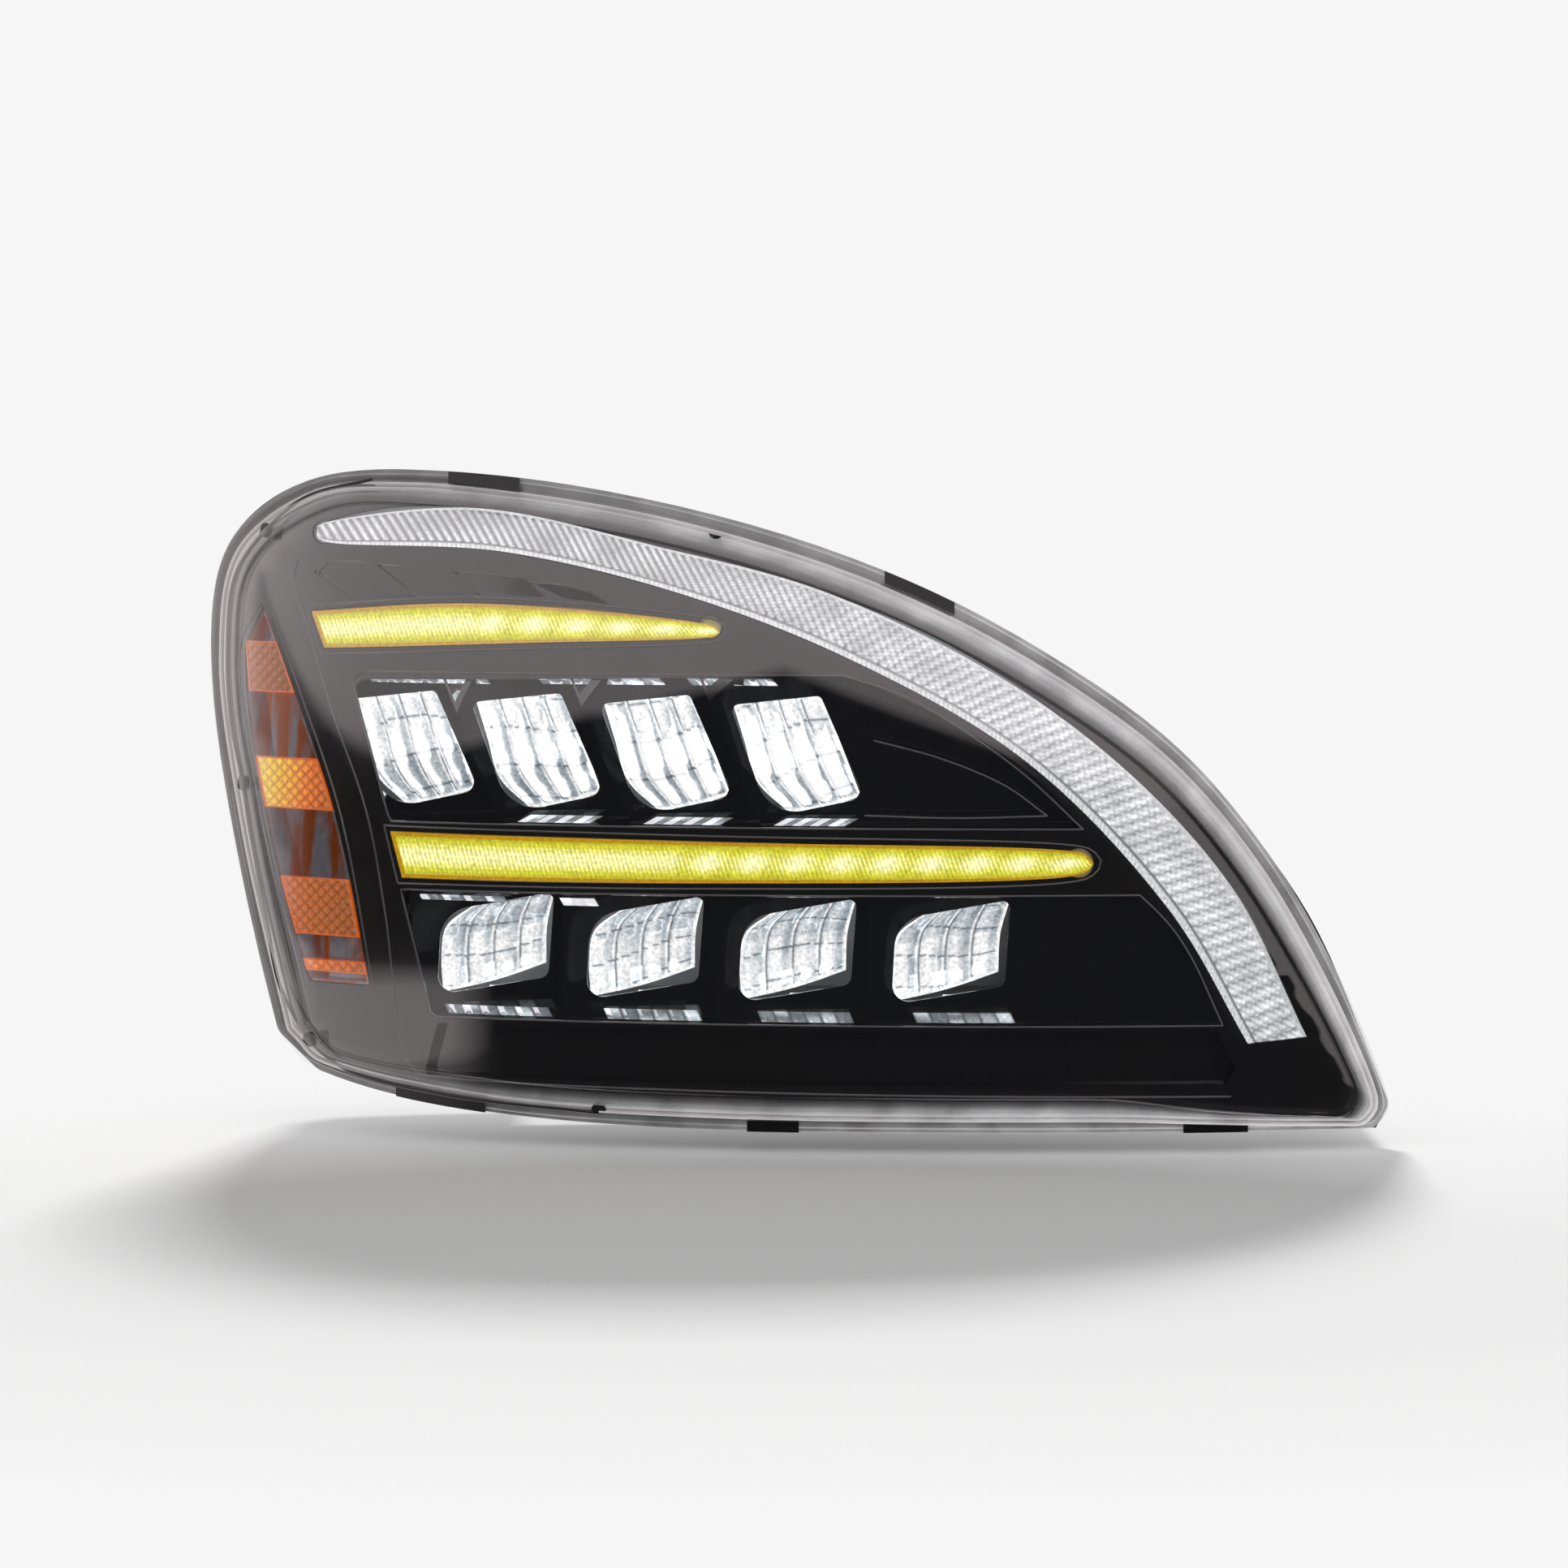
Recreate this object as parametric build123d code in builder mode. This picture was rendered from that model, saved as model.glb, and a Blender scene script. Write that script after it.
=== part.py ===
"""Right-hand LED headlight assembly of a heavy truck.

+X runs towards the inboard side of the lamp, the lens faces -Y and +Z is up.
The origin is the centre of the four mounting holes, in the mounting plane y = 0.
"""

import os
from dataclasses import dataclass

from build123d import *

os.makedirs("parts", exist_ok=True)

# ---------------------------------------------------------------- driving dimensions (mm)

# Crown surface of the lens: nearly flat in plan, leaning back, wrapping round the outboard side.
CROWN = Vector(150, -360, -120)
PLAN_RADIUS = 1000
LEAN_RADIUS = 900
WRAP_START = -150
WRAP_RATE = 5.4e-6

# Depths behind the crown surface.
LENS_WALL = 4
BEZEL_NEAR = 16
BEZEL_FAR = 19
FLANGE_NEAR = 33
SEAL_NEAR = 37
SEAL_FAR = 39
HOUSING_LIP = 43

# Insets from the outer edge of the flange.
CLIP_INSET = 4
CLIP_HOOK_INSET = 7.5
SKIRT_INSET = 9
SKIRT_WALL = 3.5
HOUSING_INSET = 12
BEZEL_INSET = 16

# Rear housing.
WALL = 3
MAIN_BACK = -112
WING_BACK = -30
WING_X = -190
REACH = 500
SPLINE_STEP = 35

# Mounting straps: four clearance holes for M8 screws.
MOUNT_X = 150
MOUNT_Z = 75
MOUNT_HOLE = 4.25
STRAP_THICK = 4
STRAP_HALF = 15
POSTS_X = (-100, 95)
POST_RADIUS = 12
POST_SCREW = 2.6

# Beam modules, tilted by a screw for the vertical aim.
PIVOT_Y = -185
PIN_RADIUS = 3
PIN_CLEARANCE = 0.06
BUSH_RADIUS = 5
AIM_LEVER = 60
AIM_X = -5
AIM_SCREW_RADIUS = 3.75
AIM_NUT_BORE = 4.0
AIM_NUT_RADIUS = 8
JOURNAL_RADIUS = 5
COLLAR_RADIUS = 9
PLATE_FRONT = -148
PLATE_BACK = -144
SINK_BACK = -126
REFLECTOR_SETBACK = 36
REFLECTOR_DEPTH = 38
DISH_RADIUS = 123
DISH_SAG = 34
DISH_WALL = 2.5
BOWL_WALL = 2
BOWL_GAP = 5

# Twist-lock service caps.
CAP_CENTRES = {"outer": (-90, 0), "inner": (150, 0)}
CAP_BORE = 40
CAP_COLLAR = 44
CAP_RADIUS = 47
CAP_PLUG = 36
CAP_LUG = 39.6
CAP_TABS = (90, 210, 330)

CONNECTOR = (-110, -165)
DRIVER = (255, -140)
VENTS = ((285, -50), (-120, 150))

# Snap clips round the flange: X range and the side of the lamp.
CLIPS = ((-232, -182, 1), (68, 115, 1), (-25, 10, -1), (269, 313, -1), (-267, -204, -1))

# Locating bosses on the lens.
BOSSES = ((-365, 181), (-380, 4), (-328, -170), (-46, 181.5), (270, 23), (-125, -208))


@dataclass(frozen=True)
class Row:
    """One row of four reflectors on a carrier."""

    name: str
    first_x: float
    pitch: float
    width: float
    top: float
    bottom: float
    led_side: int
    lean: float

    @property
    def pivot_z(self):
        return (self.top + self.bottom) / 2

    @property
    def aim_z(self):
        return self.pivot_z - AIM_LEVER

    @property
    def left(self):
        return self.first_x - 6

    @property
    def right(self):
        return self.first_x + 3 * self.pitch + self.width + 6

    @property
    def led_z(self):
        return self.top + 2 if self.led_side > 0 else self.bottom - 2

    def x(self, index):
        return self.first_x + index * self.pitch

    def front(self, index):
        return lens_y(self.x(index), self.pivot_z) + REFLECTOR_SETBACK


LOW = Row("low", -300.6, 88.5, 88, 70, -10, 1, 0.42)
HIGH = Row("high", -236, 103, 78, -66, -136, -1, 0)
ROWS = (LOW, HIGH)


def lens_y(x, z):
    """Y of the crown surface of the lens."""
    plan = (x - CROWN.X) ** 2 / (2 * PLAN_RADIUS)
    lean = (z - CROWN.Z) ** 2 / (2 * LEAN_RADIUS)
    wrap = WRAP_RATE * max(0, WRAP_START - x) ** 3
    return CROWN.Y + plan + lean + wrap


CROWN_FACE = Face.make_surface_from_array_of_points(
    [[Vector(x, lens_y(x, z), z) for z in range(-260, 261, 52)] for x in range(-460, 461, 46)]
)


def write(part, name):
    part.label = name
    export_step(part, f"parts/{name}.step")


# ---------------------------------------------------------------- outlines, drawn in X and Z


def lens_outline():
    with BuildSketch() as outline:
        with BuildLine():
            over = Spline(
                (-355, -170), (-393, -22), (-411, 95), (-398, 170), (-338, 215), (-262, 223.5),
                (-113, 207), (19, 173), (115, 134), (205, 82), (272, 30), (330, -40), (376, -121),
                tangents=[(-0.3, 1), (0.42, -1)],
            )
            corner = Polyline(over @ 1, (411, -207), (402, -223), (0, -223))
            under = Spline(corner @ 1, (-205, -215), (-325, -194), tangents=[(-1, 0), (-1, 0.3)])
            Line(under @ 1, over @ 0)
        make_face()
        fillet(outline.vertices().group_by(Axis.X)[-1], 8)
        fillet(outline.vertices().group_by(Axis.X)[0], 14)
        fillet(outline.vertices().filter_by(lambda v: v.X < -300 and v.Y < -180).sort_by(Axis.Y)[:1], 14)
    return outline.sketch_local


def grown(outline, amount):
    """An outline offset outwards, or inwards when the amount is negative, with its curves drawn afresh."""
    with BuildSketch() as larger:
        add(outline)
        offset(amount=amount, mode=Mode.REPLACE)
    edges = larger.sketch_local.face().outer_wire().order_edges()
    starts = [shared_end(before, edge) for before, edge in zip(edges[-1:] + edges[:-1], edges)]
    with BuildSketch() as redrawn:
        with BuildLine():
            for edge, start, end in zip(edges, starts, starts[1:] + starts[:1]):
                if edge.geom_type == GeomType.LINE:
                    Line(start, end)
                elif edge.geom_type == GeomType.CIRCLE:
                    ThreePointArc(start, edge @ 0.5, end)
                else:
                    steps = max(4, round(edge.length / SPLINE_STEP))
                    places = [edge @ (step / steps) for step in range(steps + 1)]
                    tangents = [edge % 0, edge % 1]
                    if (places[0] - start).length > (places[-1] - start).length:
                        places.reverse()
                        tangents = [tangent * -1 for tangent in reversed(tangents)]
                    Spline(start, *places[1:-1], end, tangents=tangents)
        make_face()
    return redrawn.sketch_local


def shared_end(before, edge):
    """The end of an edge that lies on the edge before it."""
    return min((edge @ 0, edge @ 1), key=lambda end: min((end - before @ 0).length, (end - before @ 1).length))


def inset(amount):
    return grown(lens_outline(), -amount) if amount else lens_outline()


def ring(outer, inner):
    """Band between two insets of the lens outline."""
    with BuildSketch() as band:
        add(inset(outer))
        add(inset(inner), mode=Mode.SUBTRACT)
    return band.sketch_local


def window(x_low, x_high, z_low, z_high):
    with BuildSketch() as box:
        with Locations(((x_low + x_high) / 2, (z_low + z_high) / 2)):
            Rectangle(x_high - x_low, z_high - z_low)
    return box.sketch_local


def drl_outline():
    with BuildSketch() as crescent:
        with BuildLine():
            outer = Spline(
                (-318, 187), (-212, 197), (-85, 171), (38, 137), (186, 57), (294, -48), (351, -157),
                tangents=[(1, 0.35), (0.45, -1)],
            )
            inner = Spline(
                (311, -161), (257, -70), (161, 29), (38, 99), (-85, 144), (-197, 168), (-318, 173),
                tangents=[(-0.35, 1), (-1, 0)],
            )
            ThreePointArc(inner @ 1, (-329, 180), outer @ 0)
            Line(outer @ 1, inner @ 0)
        make_face()
    return crescent.sketch_local


def strip_outline(top, tip, bottom):
    """A long light strip: two gentle curves, a round tip and a slanted outboard end."""
    with BuildSketch() as strip:
        with BuildLine():
            upper = Spline(*top)
            lower = Spline(*bottom)
            ThreePointArc(upper @ 1, tip, lower @ 0)
            Line(lower @ 1, upper @ 0)
        make_face()
    return strip.sketch_local


def upper_turn_outline():
    top = [(-329, 125), (-214, 132), (-57, 120)]
    bottom = [(-53, 110), (-180, 105.5), (-319, 100)]
    return strip_outline(top, (-43, 114), bottom)


def middle_turn_outline():
    top = [(-269.5, -24), (-60, -26.5), (192, -31.5)]
    bottom = [(192, -48), (-60, -54), (-261, -55)]
    return strip_outline(top, (207, -39.5), bottom)


def side_outline():
    with BuildSketch() as side:
        with BuildLine():
            outboard = Spline((-329, -130), (-351, -59), (-371, 23), (-380, 100), tangents=[(-0.35, 1), (0, 1)])
            inboard = Spline((-366, 127), (-342, 70), (-311, -12), (-285, -130), tangents=[(0.4, -1), (0.2, -1)])
            Line(outboard @ 1, inboard @ 0)
            Line(inboard @ 1, outboard @ 0)
        make_face()
    return side.sketch_local


def low_bowl_outline():
    with BuildSketch() as bowl:
        with BuildLine():
            sides = Polyline((200, -17), (-270, -17), (-298, 79), (40, 85))
            Spline(sides @ 1, (112, 54), (200, -17), tangents=[(1, -0.3), (0.7, -1)])
        make_face()
        fillet(bowl.vertices().group_by(Axis.X)[0], 8)
    return bowl.sketch_local


def high_bowl_outline():
    with BuildSketch() as bowl:
        with BuildLine():
            sides = Polyline((294, -149), (-240, -149), (-262, -63), (238, -61))
            Spline(sides @ 1, (272, -102), (294, -149), tangents=[(1, -1), (0.4, -1)])
        make_face()
        fillet(bowl.vertices().group_by(Axis.X)[0], 5)
    return bowl.sketch_local


def floor_outline():
    """Sill below the high-beam bowl."""
    with BuildSketch() as sill:
        with BuildLine():
            Polyline((-236, -153), (290, -153), (303, -178), (296, -189), (-246, -189), close=True)
        make_face()
        fillet(sill.vertices(), 3)
    return sill.sketch_local


def louvre_grooves():
    """Slanted grooves between the louvres above the upper light strip."""
    grooves = (((-327, 153), (-297, 134)), ((-281, 158), (-252, 137)), ((-228, 155), (-207, 138)),
               ((-176, 148), (-162, 136)), ((-133, 140), (-120, 132)))
    with BuildSketch() as slots:
        for start, end in grooves:
            with BuildLine():
                Line(start, end)
            trace(line_width=2.5)
    return slots.sketch_local


def reflector_outline(row, index, growth=0.0):
    x = row.x(index)
    with BuildSketch() as face:
        if row is LOW:
            corners = ((x, 64), (x + 59, 70), (x + 88, 3), (x + 26, -10))
            radii = (4, 3, 7, 26)
        else:
            corners = ((x + 3, -79), (x + 78, -66), (x + 74, -122), (x, -134))
            radii = (22, 4, 6, 10)
        with BuildLine():
            FilletPolyline(*corners, radius=radii, close=True)
        make_face()
        if growth:
            offset(amount=growth, mode=Mode.REPLACE)
    return face.sketch_local


# ---------------------------------------------------------------- solids shared by the pieces


def slab(outline, near, far):
    """The layer between two depths behind the crown surface, cut to an outline."""
    with BuildPart() as layer:
        with BuildSketch(Plane.XZ):
            add(outline)
        extrude(amount=REACH, both=True)
        face = CROWN_FACE.moved(Location((0, near, 0)))
        extrude(face, amount=far - near, dir=(0, 1, 0), mode=Mode.INTERSECT)
    return layer.part


def prism(outline, front, back):
    """An outline extruded along Y between two flat planes."""
    with BuildPart() as block:
        with BuildSketch(Plane.XZ.offset(-back)):
            add(outline)
        extrude(amount=back - front)
    return block.part


def box(x_low, x_high, y_low, y_high, z_low, z_high):
    """A box between limits, added to the builder in hand by add()."""
    return prism(window(x_low, x_high, z_low, z_high), y_low, y_high)


def rod(x, z, radius, front, back):
    """A round bar along Y."""
    with BuildPart() as bar:
        with BuildSketch(Plane.XZ.offset(-back)):
            with Locations((x, z)):
                Circle(radius)
        extrude(amount=back - front)
    return bar.part


def axle(y, z, radius, x_low, x_high):
    """A round bar along X."""
    with BuildPart() as bar:
        with BuildSketch(Plane.YZ.offset(x_low)):
            with Locations((y, z)):
                Circle(radius)
        extrude(amount=x_high - x_low)
    return bar.part


def clip_bands():
    with BuildSketch() as bands:
        for x_low, x_high, side in CLIPS:
            with Locations(((x_low + x_high) / 2, side * 170)):
                Rectangle(x_high - x_low, 120)
    return bands.sketch_local


def clip_zone(outer, inner):
    with BuildSketch() as zone:
        add(ring(outer, inner))
        add(clip_bands(), mode=Mode.INTERSECT)
    return zone.sketch_local


# ---------------------------------------------------------------- lens, seal, clips


def outer_lens():
    with BuildPart() as lens:
        add(slab(inset(SKIRT_INSET), 0, SEAL_NEAR - 2))
        add(slab(inset(0), FLANGE_NEAR, SEAL_NEAR))
        add(slab(inset(SKIRT_INSET + SKIRT_WALL), LENS_WALL, SEAL_NEAR + 1), mode=Mode.SUBTRACT)
        add(slab(clip_zone(0, CLIP_INSET), FLANGE_NEAR - 1, SEAL_NEAR + 1), mode=Mode.SUBTRACT)
    return lens.part


def lens_bosses():
    """Round locating bosses on the inside of the crown, cut off where they meet the skirt."""
    with BuildPart() as bosses:
        for x, z in BOSSES:
            add(rod(x, z, 5, lens_y(x, z) + LENS_WALL - 1, lens_y(x, z) + LENS_WALL + 5))
        add(slab(inset(SKIRT_INSET + SKIRT_WALL), LENS_WALL, LENS_WALL + 15), mode=Mode.INTERSECT)
    return bosses.part


def lens_sealant():
    return slab(ring(CLIP_INSET + 1, SKIRT_INSET), SEAL_NEAR, SEAL_FAR)


def lens_clips():
    with BuildPart() as clips:
        add(slab(clip_zone(0, CLIP_HOOK_INSET), FLANGE_NEAR - 3, HOUSING_LIP + 3))
        add(slab(ring(CLIP_INSET, CLIP_HOOK_INSET + 1), FLANGE_NEAR, HOUSING_LIP), mode=Mode.SUBTRACT)
    return clips.part


# ---------------------------------------------------------------- rear housing


def wing_region(amount, edge):
    """The part of an inset outline outboard of an edge."""
    with BuildSketch() as wing:
        add(inset(amount))
        add(window(-REACH, edge, -REACH, REACH), mode=Mode.INTERSECT)
    return wing.sketch_local


def rib_grid():
    """Stiffening ribs on the rear wall, kept clear of everything that is mounted there."""
    with BuildSketch() as ribs:
        with Locations((100, 0)):
            with GridLocations(50, 0, 11, 1):
                Rectangle(2.5, 2 * REACH)
            with GridLocations(0, 50, 1, 9):
                Rectangle(2 * REACH, 2.5)
        add(inset(HOUSING_INSET + 4), mode=Mode.INTERSECT)
        add(window(WING_X, REACH, -REACH, REACH), mode=Mode.INTERSECT)
        for x, z in CAP_CENTRES.values():
            with Locations((x, z)):
                Circle(CAP_RADIUS + 4, mode=Mode.SUBTRACT)
        with Locations(CONNECTOR):
            Rectangle(64, 48, mode=Mode.SUBTRACT)
        with Locations(DRIVER):
            Rectangle(134, 94, mode=Mode.SUBTRACT)
        with Locations(*VENTS):
            Circle(16, mode=Mode.SUBTRACT)
        with Locations(*[(AIM_X, row.aim_z) for row in ROWS]):
            Circle(18, mode=Mode.SUBTRACT)
    return ribs.sketch_local


def cap_sectors(centre, inner, outer, half_angle, turn=0):
    """Three short sectors of a ring, used for the bayonet tabs and lugs."""
    with BuildSketch() as sectors:
        with Locations(centre):
            Circle(outer)
            Circle(inner, mode=Mode.SUBTRACT)
        with BuildSketch(mode=Mode.INTERSECT):
            for angle in CAP_TABS:
                with Locations(Location((*centre, 0), (0, 0, angle + turn))):
                    with Locations((outer / 2, 0)):
                        Rectangle(outer, 2 * half_angle)
    return sectors.sketch_local


def rear_housing():
    back = MAIN_BACK - WALL
    with BuildPart() as housing:
        add(prism(inset(HOUSING_INSET), -REACH, MAIN_BACK))
        add(prism(wing_region(HOUSING_INSET, WING_X), -REACH, WING_BACK))
        front = CROWN_FACE.moved(Location((0, HOUSING_LIP - 2, 0)))
        extrude(front, amount=-REACH, dir=(0, 1, 0), mode=Mode.SUBTRACT)
        add(slab(inset(0), SEAL_FAR, HOUSING_LIP))
        add(prism(inset(HOUSING_INSET + WALL), -REACH, back), mode=Mode.SUBTRACT)
        inner_wing = wing_region(HOUSING_INSET + WALL, WING_X - WALL)
        add(prism(inner_wing, -REACH, WING_BACK - WALL), mode=Mode.SUBTRACT)
        add(slab(clip_zone(0, CLIP_INSET), SEAL_FAR - 1, HOUSING_LIP + 1), mode=Mode.SUBTRACT)
        add(prism(rib_grid(), MAIN_BACK, MAIN_BACK + 5))
        for x in POSTS_X:
            for z in (MOUNT_Z, -MOUNT_Z):
                add(rod(x, z, POST_RADIUS, MAIN_BACK, -STRAP_THICK))
                add(rod(x, z, POST_SCREW, -34, -STRAP_THICK), mode=Mode.SUBTRACT)
        for centre in CAP_CENTRES.values():
            add(rod(*centre, CAP_COLLAR, MAIN_BACK, MAIN_BACK + 12))
            add(rod(*centre, CAP_BORE, back, MAIN_BACK + 12), mode=Mode.SUBTRACT)
            add(prism(cap_sectors(centre, CAP_PLUG + 0.5, CAP_BORE + 1, 9), back, MAIN_BACK))
        for x, z in VENTS:
            add(rod(x, z, 7, MAIN_BACK, MAIN_BACK + 10))
            add(rod(x, z, 3, back, MAIN_BACK + 10), mode=Mode.SUBTRACT)
        for row in ROWS:
            add(rod(AIM_X, row.aim_z, COLLAR_RADIUS + 5, MAIN_BACK, MAIN_BACK + 3))
            add(rod(AIM_X, row.aim_z, COLLAR_RADIUS, back, MAIN_BACK + 3), mode=Mode.SUBTRACT)
        add(rod(*DRIVER, 9, back, MAIN_BACK), mode=Mode.SUBTRACT)
        x, z = CONNECTOR
        add(box(x - 20, x + 20, back, MAIN_BACK, z - 12, z + 12), mode=Mode.SUBTRACT)
    return housing.part


# ---------------------------------------------------------------- bezel and bowls


def bezel():
    with BuildPart() as trim:
        add(slab(inset(BEZEL_INSET), BEZEL_NEAR, SEAL_NEAR))
        add(slab(inset(BEZEL_INSET + 2.5), BEZEL_FAR, SEAL_NEAR + 1), mode=Mode.SUBTRACT)
        add(slab(louvre_grooves(), BEZEL_NEAR - 1, BEZEL_NEAR + 1.5), mode=Mode.SUBTRACT)
        with BuildSketch(Plane.XZ):
            add(bezel_openings())
        extrude(amount=REACH, both=True, mode=Mode.SUBTRACT)
        add(tray(grown(floor_outline(), 2), BEZEL_NEAR + 1, BEZEL_FAR + 8))
    return trim.part


def bezel_openings():
    with BuildSketch() as openings:
        for light in (drl_outline(), upper_turn_outline(), middle_turn_outline(), side_outline()):
            add(grown(light, 0.6))
        for bowl in (low_bowl_outline(), high_bowl_outline(), floor_outline()):
            add(bowl)
    return openings.sketch_local


def bowl_step(row, outline, index, shift):
    """The stretch of a bowl in front of one reflector, between two slanted lines."""
    far_left = row.x(index) - 200 if index == 0 else row.x(index) - 14.5 + shift
    far_right = row.x(index) + 400 if index == 3 else row.x(index + 1) - 14.5 + shift
    high, low = row.top + 60, row.bottom - 60
    slant = row.lean
    with BuildSketch() as step:
        with BuildLine():
            Polyline(
                (far_left + slant * (row.top - high), high),
                (far_right + slant * (row.top - high), high),
                (far_right + slant * (row.top - low), low),
                (far_left + slant * (row.top - low), low),
                close=True,
            )
        make_face()
        add(outline, mode=Mode.INTERSECT)
    return step.sketch_local


def beam_bowl(row, outline):
    """Stepped bowl: a flat panel in front of each reflector, with its window, and walls round it."""
    shell = grown(outline, BOWL_WALL)
    with BuildPart() as bowl:
        for index in range(4):
            back = row.front(index) - BOWL_GAP
            add(prism(bowl_step(row, shell, index, 0), -REACH, back))
        for index in range(4):
            back = row.front(index) - BOWL_GAP - BOWL_WALL
            step = bowl_step(row, outline, index, -BOWL_WALL)
            add(prism(step, -REACH, back), mode=Mode.SUBTRACT)
            opening = reflector_outline(row, index, 1)
            add(prism(opening, -REACH, row.front(index)), mode=Mode.SUBTRACT)
        front = CROWN_FACE.moved(Location((0, BEZEL_FAR, 0)))
        extrude(front, amount=-REACH, dir=(0, 1, 0), mode=Mode.SUBTRACT)
    return bowl.part


# ---------------------------------------------------------------- light strips


def tray(outline, near, far, wall=2):
    """Reflector tray behind a light strip: a floor with a rim."""
    with BuildPart() as dish:
        add(slab(outline, near, far))
        add(slab(grown(outline, -wall), near, far - wall), mode=Mode.SUBTRACT)
    return dish.part


def led_board(outline, near):
    """Flexible circuit strip that follows the tray."""
    return slab(grown(outline, -2), near, near + 1.6)


def side_bands():
    """Amber blocks of the side marker, as heights."""
    return ((-123, -115), (-98, -59), (-12, 23), (68, 103))


def side_marker_lens():
    with BuildSketch() as blocks:
        for low, high in side_bands():
            with Locations((-330, (low + high) / 2)):
                Rectangle(140, high - low)
        add(side_outline(), mode=Mode.INTERSECT)
    return slab(blocks.sketch_local, BEZEL_NEAR + 1, BEZEL_FAR + 9)


def side_marker_reflector():
    """Chromed tray whose floor lies behind the amber blocks."""
    with BuildPart() as chrome:
        add(slab(side_outline(), BEZEL_FAR, BEZEL_FAR + 14))
        add(slab(grown(side_outline(), -1.5), BEZEL_FAR - 1, BEZEL_FAR + 12), mode=Mode.SUBTRACT)
        for low, high in side_bands():
            band = window(-400, -270, low - 0.3, high + 0.3)
            add(slab(band, BEZEL_FAR - 1, BEZEL_FAR + 9), mode=Mode.SUBTRACT)
    return chrome.part


# ---------------------------------------------------------------- beam modules


def dish(row, index, radius):
    """Ball whose surface is the reflecting surface of one reflector."""
    x = row.x(index) + row.width / 2
    z = row.top if row.led_side > 0 else row.bottom
    y = row.front(index) + DISH_SAG - DISH_RADIUS
    with BuildPart() as ball:
        with Locations((x, y, z)):
            Sphere(radius)
    return ball.part


def reflector(row, index):
    x = row.x(index) + row.width / 2
    front = row.front(index)
    with BuildPart() as shell:
        add(prism(reflector_outline(row, index), front, front + REFLECTOR_DEPTH))
        add(dish(row, index, DISH_RADIUS + DISH_WALL), mode=Mode.INTERSECT)
        add(rod(x, row.pivot_z, 8, front + 20, front + REFLECTOR_DEPTH))
        add(dish(row, index, DISH_RADIUS), mode=Mode.SUBTRACT)
    return shell.part


def led_boards(row):
    near, far = sorted((row.led_z, row.led_z - 1.6 * row.led_side))
    with BuildPart() as boards:
        for index in range(4):
            x, front = row.x(index), row.front(index)
            add(box(x + 8, x + row.width - 2, front + 6, front + 42, near, far))
    return boards.part


def led_emitters(row):
    face = row.led_z - 1.6 * row.led_side
    near, far = sorted((face, face - 0.8 * row.led_side))
    with BuildPart() as emitters:
        for index in range(4):
            x, front = row.x(index) + row.width / 2, row.front(index)
            add(box(x - 3, x + 3, front + 18, front + 24, near, far))
    return emitters.part


def led_holders(row):
    """Clear clamps that hold each circuit board on its shelf."""
    face = row.led_z - 1.6 * row.led_side
    near, far = sorted((face, face - 6 * row.led_side))
    start = 67 if row is LOW else 34
    with BuildPart() as holders:
        for index in range(4):
            x, front = row.x(index) + start, row.front(index)
            add(box(x, x + 18, front + 6, front + 16, near, far))
    return holders.part


def carrier(row):
    """Die-cast frame: rear plate, LED shelves, reflector posts, pivot cheeks and the aiming eye."""
    floor = row.bottom - 4 if row.led_side > 0 else row.bottom - 8
    roof = row.top + 6
    pivot_z, aim_z = row.pivot_z, row.aim_z
    shelf = sorted((row.led_z, row.led_z + 4 * row.led_side))
    with BuildPart() as frame:
        add(box(row.left - 4, row.right + 4, PLATE_FRONT, PLATE_BACK, floor, roof))
        for index in range(4):
            x, front = row.x(index), row.front(index)
            middle = x + row.width / 2
            add(box(x + 5, x + row.width - 5, front + 4, PLATE_BACK, *shelf))
            add(rod(middle, pivot_z, 7, front + REFLECTOR_DEPTH, PLATE_BACK))
        for x in (row.left - 4, row.right):
            add(box(x, x + 4, PIVOT_Y - 12, PLATE_BACK, pivot_z - 14, pivot_z + 14))
            add(axle(PIVOT_Y, pivot_z, BUSH_RADIUS, x, x + 4), mode=Mode.SUBTRACT)
        add(box(AIM_X - 8, AIM_X + 8, PIVOT_Y - 12, PLATE_BACK, aim_z + 8, floor + 4))
        add(box(AIM_X - 12, AIM_X + 12, PIVOT_Y - 12, PIVOT_Y + 12, aim_z - 12, aim_z + 12))
        add(axle(PIVOT_Y, aim_z, AIM_NUT_RADIUS + 0.06, AIM_X - 12, AIM_X + 12), mode=Mode.SUBTRACT)
        add(rod(AIM_X, aim_z, 5, PIVOT_Y - 13, PLATE_BACK), mode=Mode.SUBTRACT)
    return frame.part


def heat_sink(row):
    middle = (row.left + row.right) / 2
    length = row.right - row.left - 16
    height = row.top - row.bottom - 4
    with BuildPart() as sink:
        add(box(middle - length / 2, middle + length / 2, PLATE_BACK, PLATE_BACK + 3,
                row.pivot_z - height / 2, row.pivot_z + height / 2))
        with BuildSketch(Plane.XZ.offset(-SINK_BACK)):
            with Locations((middle, row.pivot_z)):
                with GridLocations(9, 0, int(length / 9), 1):
                    Rectangle(2, height)
        extrude(amount=SINK_BACK - PLATE_BACK)
    return sink.part


def pivot_bushes(row):
    with BuildPart() as bushes:
        for x in (row.left - 4, row.right):
            add(axle(PIVOT_Y, row.pivot_z, BUSH_RADIUS, x - 2, x + 6))
            add(axle(PIVOT_Y, row.pivot_z, PIN_RADIUS + PIN_CLEARANCE, x - 2, x + 6), mode=Mode.SUBTRACT)
    return bushes.part


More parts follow.
